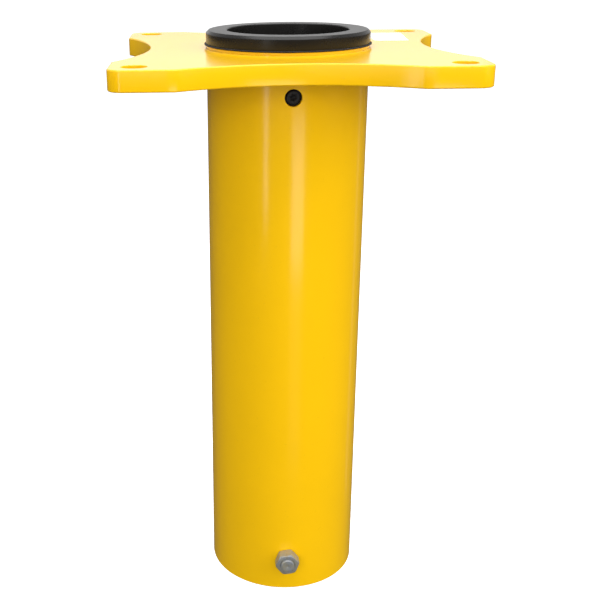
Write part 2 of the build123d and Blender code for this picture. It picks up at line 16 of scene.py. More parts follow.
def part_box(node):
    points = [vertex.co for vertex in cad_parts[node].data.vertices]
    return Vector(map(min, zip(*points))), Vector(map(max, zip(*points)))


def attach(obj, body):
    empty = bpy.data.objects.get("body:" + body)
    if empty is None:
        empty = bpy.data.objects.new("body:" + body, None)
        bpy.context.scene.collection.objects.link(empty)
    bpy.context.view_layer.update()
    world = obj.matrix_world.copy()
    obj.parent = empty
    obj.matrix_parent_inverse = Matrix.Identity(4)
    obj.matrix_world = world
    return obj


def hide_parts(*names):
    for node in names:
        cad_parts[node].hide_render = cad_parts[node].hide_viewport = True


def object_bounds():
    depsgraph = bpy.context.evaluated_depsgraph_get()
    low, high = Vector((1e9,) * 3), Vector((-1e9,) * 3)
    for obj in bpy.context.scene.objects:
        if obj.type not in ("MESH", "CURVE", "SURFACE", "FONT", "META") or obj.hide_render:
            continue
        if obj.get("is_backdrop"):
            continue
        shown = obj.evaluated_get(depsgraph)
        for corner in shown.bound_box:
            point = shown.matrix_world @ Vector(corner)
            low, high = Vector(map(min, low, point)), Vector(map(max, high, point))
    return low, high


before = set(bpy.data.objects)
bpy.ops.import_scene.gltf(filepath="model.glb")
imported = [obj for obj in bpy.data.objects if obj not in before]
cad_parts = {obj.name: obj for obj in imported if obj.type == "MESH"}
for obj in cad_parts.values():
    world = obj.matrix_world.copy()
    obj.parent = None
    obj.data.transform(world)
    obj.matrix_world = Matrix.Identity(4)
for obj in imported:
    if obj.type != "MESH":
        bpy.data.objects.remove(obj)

bl_info = {
    "name": "Retractable bollard",
    "version": (1, 0, 0),
    "blender": (4, 5, 0),
    "location": "View3D > Sidebar > Bollard",
    "description": "Builds the visible pieces of a retractable bollard around its CAD frame",
    "category": "Object",
}

CAD_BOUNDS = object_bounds()
MM = 0.001
FULL_TURN = 2 * pi
SEAT_DEPTH = 5.0 * MM  # from the front of the bushing screw's head back to its seat
LOW = {node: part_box(node)[0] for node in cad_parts}
HIGH = {node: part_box(node)[1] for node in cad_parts}
FINISHES = {}


# ---------------------------------------------------------------- settings


def length(name, default, description):
    """A size in metres."""
    return FloatProperty(
        name=name, default=default, description=description, unit="LENGTH", precision=5, min=0.0
    )


def angle(name, default, description):
    """An angle, given here in degrees."""
    return FloatProperty(
        name=name, default=radians(default), description=description, subtype="ANGLE"
    )


def colour(name, default, description):
    """A surface colour, in linear light."""
    return FloatVectorProperty(
        name=name, default=default, description=description, subtype="COLOR", size=3, min=0, max=1
    )


def number(name, default, description):
    """A plain number."""
    return FloatProperty(name=name, default=default, description=description)


class BollardSizes(bpy.types.PropertyGroup):
    """Sizes that the frame's boxes don't give."""

    tube_wall: length("Tube wall", 7.1 * MM, "Wall of the housing tube")
    stop_hole: length("Stop bolt hole", 9.0 * MM, "Radius of the holes for the stop bolt")
    front_hole: length("Front hole", 8.5 * MM, "Radius of the hole in front of the bushing screw")
    corner_flat: length("Corner flat", 62.0 * MM, "Straight end of each side of the plate")
    corner_round: length("Corner radius", 15.0 * MM, "Radius of the plate's corners")
    waist_depth: length("Waist depth", 30.3 * MM, "How far each side of the plate is drawn in")
    anchor_hole: length("Anchor hole", 12.0 * MM, "Radius of the anchor holes")
    anchor_inset: length("Anchor inset", 24.0 * MM, "Anchor hole to the plate's side")
    plate_edge: length("Plate edge", 1.6 * MM, "Rounding that the powder coat leaves on the plate")
    weld_width: length("Weld width", 6.0 * MM, "Width of the weld bead under the plate")
    weld_ripple: length("Weld ripple", 2.4 * MM, "Spacing of the ripples along the bead")
    flange_chamfer: length("Flange chamfer", 2.8 * MM, "Chamfer round the bushing's flange")
    mouth_radius: length("Mouth radius", 63.2 * MM, "Radius of the bushing's mouth")
    land_radius: length("Land radius", 57.75 * MM, "Radius in which the post slides")
    mouth_depth: length("Mouth depth", 24.8 * MM, "Flange's top to the ledge for the lock bolts")
    wiper_depth: length("Wiper groove depth", 4.2 * MM, "Depth of the groove for the wiper")
    post_wall: length("Post wall", 4.5 * MM, "Wall of the post's tube")
    bolt_hole: length("Lock bolt hole", 8.3 * MM, "Radius of the holes for the lock bolts")
    wall_screw_head: length("Wall screw head", 5.5 * MM, "Radius of the countersunk heads")
    thread_pitch: length("Thread pitch", 2.0 * MM, "Pitch of the stop bolt's thread")
    key_socket: length("Key socket", 6.0 * MM, "Half across the flats of the key's socket")
    key_well: length("Key well", 12.17 * MM, "Radius of the well round the key head")
    handle_rod: length("Handle rod", 4.0 * MM, "Radius of the lift handle's rod")
    handle_reach: length("Handle reach", 30.0 * MM, "Radius of the lift handle's bow")
    handle_axis: length("Handle axis", 599.5 * MM, "Height of the lift handle's pins")
    handle_offset: length("Handle offset", 14.0 * MM, "The pins lie this far in front of the axis")
    handle_leg: length("Handle leg", 6.0 * MM, "Straight leg between the pins and the bow")
    finger_scoop: length("Finger scoop", 13.0 * MM, "Radius of the scoop behind the handle")
    band_cell: length("Band cell", 3.2 * MM, "Width of a cell of the reflective film")
    label_width: length("Label width", 38.0 * MM, "Width of the blank label on the plate")
    label_length: length("Label length", 84.0 * MM, "Length of the blank label on the plate")
    label_right: length("Label right", 118.0 * MM, "Label's middle to the right of the tube's axis")
    label_back: length("Label back", 86.0 * MM, "Label's middle behind the tube's axis")
    label_turn: angle("Label turn", -4.0, "Label's turn, seen from above")


class BollardColours(bpy.types.PropertyGroup):
    """Colours of the finishes."""

    yellow: colour("Powder coat", (0.93, 0.53, 0.002), "Gloss yellow powder coat")
    polymer: colour("Bushing", (0.005, 0.0045, 0.004), "Black moulded and turned polymer")
    rubber: colour("Rubber", (0.014, 0.014, 0.014), "Gasket, wiper and buffer")
    zinc: colour("Zinc", (0.42, 0.42, 0.405), "Zinc plate, before its passivation tint")
    black_oxide: colour("Black oxide", (0.02, 0.019, 0.019), "Blackened screws and clips")
    casting: colour("Casting", (0.022, 0.022, 0.023), "Textured coat of the cast cap")
    stainless: colour("Stainless", (0.63, 0.62, 0.60), "Brushed and turned stainless steel")
    nylon: colour("Nylon", (0.78, 0.76, 0.69), "Natural nylon of the guide ring")
    bronze: colour("Bronze", (0.52, 0.31, 0.13), "Oil-filled bearing bronze")
    film: colour("Film", (0.72, 0.74, 0.75), "White reflective film")
    label: colour("Label", (0.86, 0.86, 0.84), "Blank printed-stock label")
    floor: colour("Floor", (0.88, 0.88, 0.88), "Pale floor")


class BollardStudio(bpy.types.PropertyGroup):
    """The camera and the lights."""

    camera_reach: length("Camera reach", 1.0614, "Camera to the tube's axis, level")
    camera_height: length("Camera height", 0.7228, "Camera above the floor")
    camera_azimuth: angle("Camera azimuth", -4.352, "Camera's place round the tube from the front")
    camera_heading: angle("Camera heading", -0.214, "Direction that the camera faces")
    camera_pitch: angle("Camera pitch", 20.39, "Camera's tilt below level")
    camera_roll: angle("Camera roll", -0.725, "Camera's turn about its own line of sight")
    camera_lens: number("Camera lens", 59.69, "Focal length in millimetres")
    camera_shift: number("Camera shift", 0.1383, "Sideways shift of the lens")
    sky_light: number("Sky", 0.62, "Brightness of the room overhead")
    horizon_light: number("Horizon", 0.80, "Brightness of the room at eye level")
    low_light: number("Low sky", 0.08, "Brightness of the room below the floor's level")
    key_power: number("Key", 24.0, "Watts of the softbox at the front right")
    front_power: number("Front", 19.5, "Watts of the softbox at the front")
    top_power: number("Overhead", 34.0, "Watts of the softbox overhead")
    back_power: number("Back", 2.0, "Watts of the softbox behind")
    strip_power: number("Thin strip", 0.75, "Watts of the thin strip at the left")
    window_power: number("Window", 0.6, "Watts of the small softbox that shows in the tube")
    window_tail_power: number("Window tail", 0.12, "Watts of the dim light below the window")
    edge_power: number("Edge strip", 0.15, "Watts of the strip behind on the right")
    floor_glow: number("Floor glow", 0.7, "Light of the floor's own")
    floor_size: length("Floor size", 40.0, "Side of the square floor")


# ---------------------------------------------------------------- node maths


class Wire:
    """An output socket that can stand in an expression, which then adds its Math nodes."""

    def __init__(self, graph, socket):
        self.graph = graph
        self.socket = socket

    def maths(self, operation, *values):
        return self.graph.add("ShaderNodeMath", dict(enumerate(values)), operation=operation)

    def __add__(self, other):
        return self.maths("ADD", self, other)

    def __radd__(self, other):
        return self.maths("ADD", other, self)

    def __sub__(self, other):
        return self.maths("SUBTRACT", self, other)

    def __rsub__(self, other):
        return self.maths("SUBTRACT", other, self)

    def __mul__(self, other):
        return self.maths("MULTIPLY", self, other)

    def __truediv__(self, other):
        return self.maths("DIVIDE", self, other)

    def __rtruediv__(self, other):
        return self.maths("DIVIDE", other, self)

    def __mod__(self, other):
        return self.maths("FLOORED_MODULO", self, other)

    def __gt__(self, other):
        return self.maths("GREATER_THAN", self, other)

    def sine(self):
        return self.maths("SINE", self)

    def cosine(self):
        return self.maths("COSINE", self)

    def size(self):
        return self.maths("ABSOLUTE", self)

    def root(self):
        return self.maths("SQRT", self)

    def least(self, other):
        return self.maths("MINIMUM", self, other)

    def most(self, other):
        return self.maths("MAXIMUM", self, other)


class Graph:
    """Adds nodes to a shader tree or a Geometry Nodes tree, and joins them."""

    def __init__(self, tree):
        self.tree = tree

    def add(self, kind, inputs=None, out=0, stops=None, **settings):
        """A node with its settings made first, then its inputs, by name or number."""
        node = self.tree.nodes.new(kind)
        for name, value in settings.items():
            setattr(node, name, value)
        if stops:
            ramp = node.color_ramp
            while len(ramp.elements) < len(stops):
                ramp.elements.new(1.0)
            for element, (position, shade) in zip(ramp.elements, stops):
                element.position = position
                element.color = (shade, shade, shade, 1.0)
        for name, value in (inputs or {}).items():
            self.join(node.inputs[name], value)
        return Wire(self, node.outputs[out]) if node.outputs else None

    def join(self, socket, value):
        if isinstance(value, Wire):
            self.tree.links.new(value.socket, socket)
        else:
            socket.default_value = value

    def parts(self, vector):
        """The three numbers of a vector."""
        split = self.add("ShaderNodeSeparateXYZ", {0: vector}).socket.node
        return [Wire(self, output) for output in split.outputs]

    def noise(self, vector, scale, detail=2.0, roughness=0.5):
        inputs = {"Vector": vector, "Scale": scale, "Detail": detail, "Roughness": roughness}
        return self.add("ShaderNodeTexNoise", inputs)

    def ramp(self, value, *stops):
        """A grey ramp through (position, value) stops."""
        return self.add("ShaderNodeValToRGB", {0: value}, stops=stops)

    def blend(self, factor, first, second):
        """A colour between two colours."""
        inputs = {"Factor": factor, 6: first, 7: second}
        return self.add("ShaderNodeMix", inputs, out=2, data_type="RGBA")


def rgba(shade, gain=1.0):
    """A colour for a socket, brightened or darkened by gain."""
    return (*[min(1.0, channel * gain) for channel in shade], 1.0)


# ---------------------------------------------------------------- finishes


class Finish(Graph):
    """A material on its way: its base colour, its Object coordinates and its shade so far."""

    def __init__(self, name, base):
        self.name = name
        self.base = base
        self.material = bpy.data.materials.new(name)
        self.material.use_nodes = True
        self.material.node_tree.nodes.clear()
        super().__init__(self.material.node_tree)
        self.place = self.add("ShaderNodeTexCoord", out="Object")

    def grain(self, scale, detail=2.0, roughness=0.5):
        """Noise in Object coordinates."""
        return self.noise(self.place, scale, detail, roughness)

    def round_place(self):
        """A point's distance from the Z axis, and its height."""
        x, y, z = self.parts(self.place)
        return (x * x + y * y).root(), z

    def mottle(self, factor, low, high):
        """Starts the shade, between two gains of the base colour."""
        self.shade = self.blend(factor, rgba(self.base, low), rgba(self.base, high))

    def touch(self, factor, gain):
        """Brings the shade towards the base colour times gain."""
        self.shade = self.blend(factor, self.shade, rgba(self.base, gain))

    def end(self, bump=None, **inputs):
        """Ends in a Principled shader, with a bump of (height, distance, strength).

        Underscores in the inputs' names stand for spaces.
        """
        values = {"Base Color": self.shade}
        for name, value in inputs.items():
            values[name.replace("_", " ")] = value
        if bump:
            relief = dict(zip(("Height", "Distance", "Strength"), bump))
            values["Normal"] = self.add("ShaderNodeBump", relief)
        shader = self.add("ShaderNodeBsdfPrincipled", values)
        self.add("ShaderNodeOutputMaterial", {"Surface": shader})
        self.material.diffuse_color = (0.5, 0.5, 0.5, 1.0)
        FINISHES[self.name] = self.material


def powder_coat(colours):
    """Gloss yellow powder coat, with its orange peel and the odd nib of dust."""
    coat = Finish("yellow_powder_coat", colours.yellow)
    cloud = coat.grain(14.0, 3.0)
    peel = coat.grain(330.0, 2.0, 0.55) + coat.grain(1100.0, 1.0) * 0.18
    nibs = coat.ramp(coat.grain(420.0, 0.0), (0.78, 0.0), (0.83, 1.0))
    coat.mottle(cloud, 0.97, 1.03)
    coat.touch(nibs * 0.25, 0.8)
    roughness = 0.13 + cloud * 0.06 + nibs * 0.1
    coat.end((peel + nibs * 0.6, 0.055 * MM, 1.0), Roughness=roughness)


def turned_polymer(colours):
    """Black polymer with the fine grooves that a lathe leaves."""
    coat = Finish("black_polymer", colours.polymer)
    reach, z = coat.round_place()
    groove = ((reach + z * 0.73) * (FULL_TURN / (0.45 * MM))).sine()
    level_face = z > HIGH["guide_bushing"].z - 0.5 * MM
    cloud = coat.grain(55.0, 4.0, 0.6)
    scuff = coat.ramp(coat.grain(240.0, 3.0, 0.7), (0.55, 0.0), (0.78, 1.0))
    coat.mottle(cloud, 0.8, 1.35)
    coat.touch(scuff * 0.3, 2.6)
    roughness = 0.25 + level_face * 0.07 + cloud * 0.05 + scuff * 0.06
    bump = (groove * 0.2 + cloud * 0.5, 0.012 * MM, 0.6)
    coat.end(bump, Specular_IOR_Level=0.3, Roughness=roughness)


def rubber(colours):
    """Matt black rubber with a moulded grain and a trace of bloom."""
    coat = Finish("black_rubber", colours.rubber)
    bloom = coat.grain(70.0, 4.0, 0.6)
    coat.mottle(bloom, 0.75, 1.9)
    coat.end((coat.grain(1500.0), 0.05 * MM, 0.7), Roughness=0.58 + bloom * 0.2)


def zinc_plate(colours):
    """Weathered zinc plate: fine spangle, faint blue and straw passivation, dull hollows."""
    coat = Finish("zinc_steel", colours.zinc)
    tint = coat.ramp(coat.grain(160.0, 3.0, 0.6), (0.35, 0.0), (0.65, 1.0))
    dull = coat.grain(420.0, 4.0, 0.7)
    grain = coat.grain(2600.0)
    blue = [channel * gain for channel, gain in zip(colours.zinc, (0.90, 0.97, 1.10))]
    straw = [channel * gain for channel, gain in zip(colours.zinc, (1.10, 1.02, 0.80))]
    stain = coat.ramp(dull, (0.52, 0.0), (0.72, 1.0))
    coat.shade = coat.blend(tint, rgba(blue), rgba(straw))
    coat.touch(stain * 0.55, 0.45)
    roughness = 0.38 + stain * 0.2 + grain * 0.08
    coat.end((grain + dull * 2.0, 0.05 * MM, 0.8), Metallic=0.6, Roughness=roughness)


def black_oxide(colours):
    """Blackened steel with a thin oily sheen and worn high spots."""
    coat = Finish("black_oxide_steel", colours.black_oxide)
    cloud = coat.grain(300.0, 3.0, 0.6)
    wear = coat.ramp(coat.grain(900.0, 3.0, 0.7), (0.6, 0.0), (0.8, 1.0))
    bare_steel = (0.12, 0.115, 0.11, 1.0)
    coat.mottle(cloud, 0.6, 1.5)
    coat.shade = coat.blend(wear * 0.3, coat.shade, bare_steel)
    coat.end((cloud, 0.03 * MM, 0.5), Metallic=0.5, Roughness=0.42 + cloud * 0.15)


def coated_casting(colours):
    """Cast cap under a textured black coat, scuffed along the tops of its grain."""
    coat = Finish("black_casting", colours.casting)
    grain = coat.grain(900.0, 2.0, 0.6)
    lumps = coat.grain(120.0)
    scuff = coat.ramp(grain, (0.62, 0.0), (0.74, 1.0))
    coat.mottle(lumps, 0.75, 1.5)
    coat.touch(scuff * 0.5, 3.2)
    coat.end((grain + lumps * 0.8, 0.16 * MM, 0.8), Roughness=0.5 + scuff * 0.12)


def stainless(colours):
    """Stainless steel with a fine, even grain."""
    coat = Finish("stainless_steel", colours.stainless)
    fine = coat.grain(500.0, 4.0, 0.65)
    cloud = coat.grain(90.0, 3.0)
    coat.mottle(fine, 0.86, 1.12)
    coat.touch(cloud * 0.3, 0.8)
    roughness = 0.2 + fine * 0.14 + cloud * 0.06
    coat.end((fine, 0.02 * MM, 0.6), Metallic=1.0, Roughness=roughness)


def nylon(colours):
    """Natural nylon, waxy, with turning lines and a few dark rubs along the travel."""
    coat = Finish("white_nylon", colours.nylon)
    reach, z = coat.round_place()
    groove = ((reach + z) * (FULL_TURN / (0.6 * MM))).sine()
    cloud = coat.grain(60.0, 4.0, 0.6)
    stretch = {0: coat.place, 1: (90.0, 90.0, 14.0)}
    drawn = coat.add("ShaderNodeVectorMath", stretch, operation="MULTIPLY")
    rub = coat.ramp(coat.noise(drawn, 1.0, 3.0), (0.6, 0.0), (0.8, 1.0))
    coat.mottle(cloud, 0.94, 1.04)
    coat.touch(rub * 0.25, 0.45)
    coat.end(
        (groove * 0.3 + cloud, 0.02 * MM, 0.6),
        Roughness=0.42 + cloud * 0.1,
        Subsurface_Weight=0.15,
        Subsurface_Scale=2.0 * MM,
    )


def bronze(colours):
    """Sintered bearing bronze, with its oil pores."""
    coat = Finish("bearing_bronze", colours.bronze)
    pores = coat.ramp(coat.grain(2200.0), (0.30, 1.0), (0.42, 0.0))
    coat.mottle(coat.grain(140.0, 3.0), 0.8, 1.2)
    coat.touch(pores * 0.7, 0.25)
    coat.end((1.0 - pores, 0.03 * MM, 0.7), Metallic=1.0, Roughness=0.34 + pores * 0.3)


def reflective_film(colours, cell):
    """White reflective film: hexagonal cells with raised seams under a clear face.

    The cells follow the band's own map, which runs round the post and up it in metres.
    """
    coat = Finish("white_reflective", colours.film)
    around, up, _ = coat.parts(coat.add("ShaderNodeUVMap", uv_map="lay"))
    row = cell * sqrt(3)

    def cell_edge(offset):
        """How far a point is from the middle of its hexagon, 0.5 at the flats, in one lattice."""
        u = ((around / cell + offset) % 1.0) - 0.5
        v = (((up / row + offset) % 1.0) - 0.5) * sqrt(3)
        return u.size().most(u.size() * 0.5 + v.size() * (sqrt(3) / 2))

    seam = coat.ramp(cell_edge(0.0).least(cell_edge(0.5)), (0.43, 0.0), (0.48, 1.0))
    coat.mottle(coat.grain(2400.0, 1.0), 0.85, 1.1)
    coat.touch(seam, 1.3)
    coat.end(
        (seam, 0.05 * MM, 0.8),
        Metallic=0.45 - seam * 0.35,
        Roughness=0.32 - seam * 0.08,
        Coat_Weight=0.6,
        Coat_Roughness=0.12,
    )


def label_stock(colours):
    """A plain matt label, very slightly cockled, with nothing printed on it."""
    coat = Finish("blank_label", colours.label)
    fibre = coat.grain(1900.0, 3.0)
    relief = coat.grain(45.0) * 4.0 + fibre * 0.2
    coat.mottle(fibre, 0.95, 1.03)
    coat.end((relief, 0.05 * MM, 0.6), Roughness=0.36 + fibre * 0.1)


def floor_paint(colours, glow):
    """The pale floor, with a faint cloudiness and a light of its own."""
    coat = Finish("pale_floor", colours.floor)
    coat.mottle(coat.grain(3.0, 3.0), 0.99, 1.01)
    coat.end(
        Roughness=0.9,
        Specular_IOR_Level=0.0,
        Emission_Color=rgba(colours.floor),
        Emission_Strength=glow,
    )


# ---------------------------------------------------------------- outlines


def rounded(corners, closed=True, steps=5):
    """Points round a polygon of (across, up, radius) corners, each corner turned by an arc.

    A straight run longer than its arcs gets a point near each end, so that it shades flat.
    An open line keeps its two ends as they are.
    """
    points = []
    count = len(corners)
    for i, (across, up, radius) in enumerate(corners):
        here = Vector((across, up))
        if not closed and i in (0, count - 1):
            points.append(here)
            continue
        before = Vector(corners[i - 1][:2]) - here
        after = Vector(corners[(i + 1) % count][:2]) - here
        back, onward = before.normalized(), after.normalized()
        turn = pi - before.angle(after)
        reach = min(radius * tan(turn / 2), 0.45 * before.length, 0.45 * after.length)
        radius = reach / tan(turn / 2)
        centre = here + (back + onward).normalized() * (radius / cos(turn / 2))
        support = min(reach, 0.2 * before.length, 0.2 * after.length)
        first = here + back * reach - centre
        swing = first.angle_signed(here + onward * reach - centre)
        points.append(here + back * (reach + support))
        for k in range(steps + 1):
            points.append(centre + Matrix.Rotation(-swing * k / steps, 2) @ first)
        points.append(here + onward * (reach + support))
    return [tuple(point) for point in points]


def quarter_round(radius, steps):
    """A rounded edge as (spread, depth) steps, from the face inwards."""
    turns = [pi / 2 * k / steps for k in range(steps + 1)]
    return [(radius * (1 - sin(a)), radius * (1 - cos(a))) for a in turns]


def arc_point(radius, turn, x=0.0, y=0.0):
    return (x + radius * cos(turn), y + radius * sin(turn))


def ring_section(inner, outer, low, high, inside, outside):
    """The corners of a ring's section, with the rounding of its inner and its outer edges."""
    return [
        (inner, low, inside),
        (outer, low, outside),
        (outer, high, outside),
        (inner, high, inside),
    ]


def hexagon(half_flats, softness=40.0):
    """A radius for each angle that draws a hexagon with softened corners."""

    def radius(turn):
        total = 0.0
        for side in range(6):
            total += max(0.0, cos(turn - side * pi / 3)) ** softness
        return half_flats / total ** (1 / softness)

    return radius


def chamfered(shape, limit):
    """A shape cut off at a circle, as the chamfer of a nut cuts its corners."""
    return lambda turn: min(shape(turn), limit)


def hexagon_chamfer(half_flats, face, steps=6):
    """(radius, rise) steps of a 30 degree chamfer, from a face of that radius to the corners."""
    shape = hexagon(half_flats)
    corner = shape(pi / 6)
    limits = [face + (corner - face) * k / steps for k in range(steps + 1)]
    return [(chamfered(shape, limit), (limit - face) * tan(radians(30))) for limit in limits]


# ---------------------------------------------------------------- meshes


class Shell:
    """Vertices and faces, gathered loop by loop."""

    def __init__(self):
        self.vertices = []
        self.faces = []

    def loop(self, points):
        """Adds points, and gives their numbers."""
        self.vertices.extend(tuple(point) for point in points)
        return list(range(len(self.vertices) - len(points), len(self.vertices)))

    def join(self, loops):
        """Adds the walls between each loop and the next."""
        for low, high in zip(loops, loops[1:]):
            for k, n in neighbours(len(low)):
                corners = list(dict.fromkeys((low[k], low[n], high[n], high[k])))
                if len(corners) > 2:
                    self.faces.append(corners)

    def mesh(self, weld=1e-7):
        """A smooth-shaded mesh whose faces all point outwards."""
        mesh = bpy.data.meshes.new("mesh")
        mesh.from_pydata(self.vertices, [], self.faces)
        built = bmesh.new()
        built.from_mesh(mesh)
        bmesh.ops.remove_doubles(built, verts=built.verts, dist=weld)
        bmesh.ops.recalc_face_normals(built, faces=built.faces)
        built.to_mesh(mesh)
        built.free()
        mesh.shade_smooth()
        return mesh


def neighbours(count):
    """Each number below count with the next one, round to the start."""
    return [(k, (k + 1) % count) for k in range(count)]


def turned_mesh(profile, segments=96, turn=0.0):
    """A mesh turned about Z from (radius, height) points, where a radius may be a function.

    A profile that starts on the axis also ends there. Any other profile closes into a ring.
    """
    shell = Shell()
    rings = []
    turns = [FULL_TURN * k / segments for k in range(segments)]
    for reach, height in profile:
        if callable(reach):
            ring = [(*arc_point(reach(a - turn), a), height) for a in turns]
        elif reach > 1e-7:
            ring = [(*arc_point(reach, a), height) for a in turns]
        else:
            rings.append(shell.loop([(0.0, 0.0, height)]) * segments)
            continue
        rings.append(shell.loop(ring))
    shell.join(rings if profile[0][0] == 0.0 else rings + rings[:1])
    return shell.mesh()


def cylinder(radius, low, high, segments):
    return turned_mesh([(0.0, low), (radius, low), (radius, high), (0.0, high)], segments)


def stacked_mesh(levels):
    """A solid whose side runs through (outline, height) levels, from the lowest up."""
    shell = Shell()
    loops = [shell.loop([(x, y, height) for x, y in outline]) for outline, height in levels]
    shell.faces += [loops[0][::-1], loops[-1]]
    shell.join(loops)
    return shell.mesh()


def merged_mesh(*meshes):
    """Several meshes as one, each kept whole."""
    built = bmesh.new()
    for mesh in meshes:
        built.from_mesh(mesh)
    result = bpy.data.meshes.new("mesh")
    built.to_mesh(result)
    built.free()
    return result


def moved(mesh, *steps):
    """The mesh carried by matrices, the first one first."""
    for step in steps:
        mesh.transform(step)
    return mesh


def shift(x, y, z):
    return Matrix.Translation((x, y, z))


def spin(degrees, axis):
    return Matrix.Rotation(radians(degrees), 4, axis)


def middle(node):
    """The middle of a CAD node's box."""
    return (LOW[node] + HIGH[node]) / 2


def centred_box(node):
    """Half the width of a CAD node that is centred on the Z axis, its bottom and its top."""
    return HIGH[node].x, LOW[node].z, HIGH[node].z


def screw_seat():
    """The steps that carry a screw or a drill from +Z to the bushing screw's seat."""
    seat = LOW["bushing_screw"].y + SEAT_DEPTH
    return spin(90, "X"), shift(0.0, seat, middle("bushing_screw").z)


def true_round(mesh, *walls):
    """Exact normals on round walls about Z, each given as (radius, outward 1 or inward -1)."""
    normals = []
    for vertex in mesh.vertices:
        reach = hypot(vertex.co.x, vertex.co.y)
        normal = (0.0, 0.0, 0.0)
        for radius, way in walls:
            if abs(reach - radius) < 1e-6:
                normal = (way * vertex.co.x / reach, way * vertex.co.y / reach, 0.0)
        normals.append(normal)
    mesh.normals_split_custom_set_from_vertices(normals)
    return mesh


def linked(name, data):
    """A new object in the scene."""
    item = bpy.data.objects.new(name, data)
    bpy.context.scene.collection.objects.link(item)
    return item


def set_piece(node, suffix, body, finish, mesh):
    """Puts a mesh in the scene as a finished piece on a body, for a CAD node if it has one."""
    mesh.name = f"{node}_{suffix}"
    mesh.materials.clear()
    mesh.materials.append(FINISHES[finish])
    piece = linked(f"{node}_{suffix}", mesh)
    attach(piece, body)
    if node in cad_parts:
        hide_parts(node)


def turned_piece(node, suffix, body, finish, corners, segments, *place):
    """A piece turned about Z from rounded corners, then carried to its place."""
    mesh = turned_mesh(rounded(corners, corners[0][0] > 0.0), segments)
    set_piece(node, suffix, body, finish, moved(mesh, *place))


def ring_piece(node, suffix, body, finish, inner, inside, outside, segments):
    """A turned ring in the place of a CAD node, with the rounding of its edges."""
    outer, low, high = centred_box(node)
    corners = ring_section(inner, outer, low, high, inside, outside)
    turned_piece(node, suffix, body, finish, corners, segments)


def evaluated(carrier):
    """The mesh that an object's modifiers make."""
    depsgraph = bpy.context.evaluated_depsgraph_get()
    depsgraph.update()
    return bpy.data.meshes.new_from_object(
        carrier.evaluated_get(depsgraph), preserve_all_data_layers=True, depsgraph=depsgraph
    )


def cut_mesh(mesh, *cutters):
    """The mesh with the cutters taken out of it, smooth only where it is round."""
    body = linked("body", mesh)
    tools = [linked("cutter", cutter) for cutter in cutters]
    for tool in tools:
        step = body.modifiers.new("cut", "BOOLEAN")
        step.operation = "DIFFERENCE"
        step.solver = "EXACT"
        step.object = tool
    level = body.modifiers.new("level", "DECIMATE")
    level.decimate_type = "DISSOLVE"
    level.angle_limit = radians(0.4)
    result = evaluated(body)
    for item in (*tools, body):
        bpy.data.objects.remove(item)
    built = bmesh.new()
    built.from_mesh(result)
    bmesh.ops.remove_doubles(built, verts=built.verts, dist=0.003 * MM)
    bmesh.ops.dissolve_degenerate(built, edges=built.edges, dist=0.001 * MM)
    built.to_mesh(result)
    built.free()
    result.shade_smooth()
    result.set_sharp_from_angle(angle=radians(25))
    normals = [corner.vector.copy() for corner in result.corner_normals]
    for face in result.polygons:
        if abs(face.normal.z) > 0.9999:
            for corner in face.loop_indices:
                normals[corner] = face.normal.copy()
    result.normals_split_custom_set(normals)
    return result


# ---------------------------------------------------------------- pierced tubes and plates


def centre_of(points):
    return sum(points, Vector((0.0, 0.0))) / len(points)


def drilled_loop(reach, turn, height, radius, count):
    """The line where a drill of that radius meets a round wall about Z."""
    loop = []
    for k in range(count):
        side, rise = arc_point(radius, FULL_TURN * k / count)
        loop.append((*arc_point(reach, turn + asin(side / reach)), height + rise))
    return loop


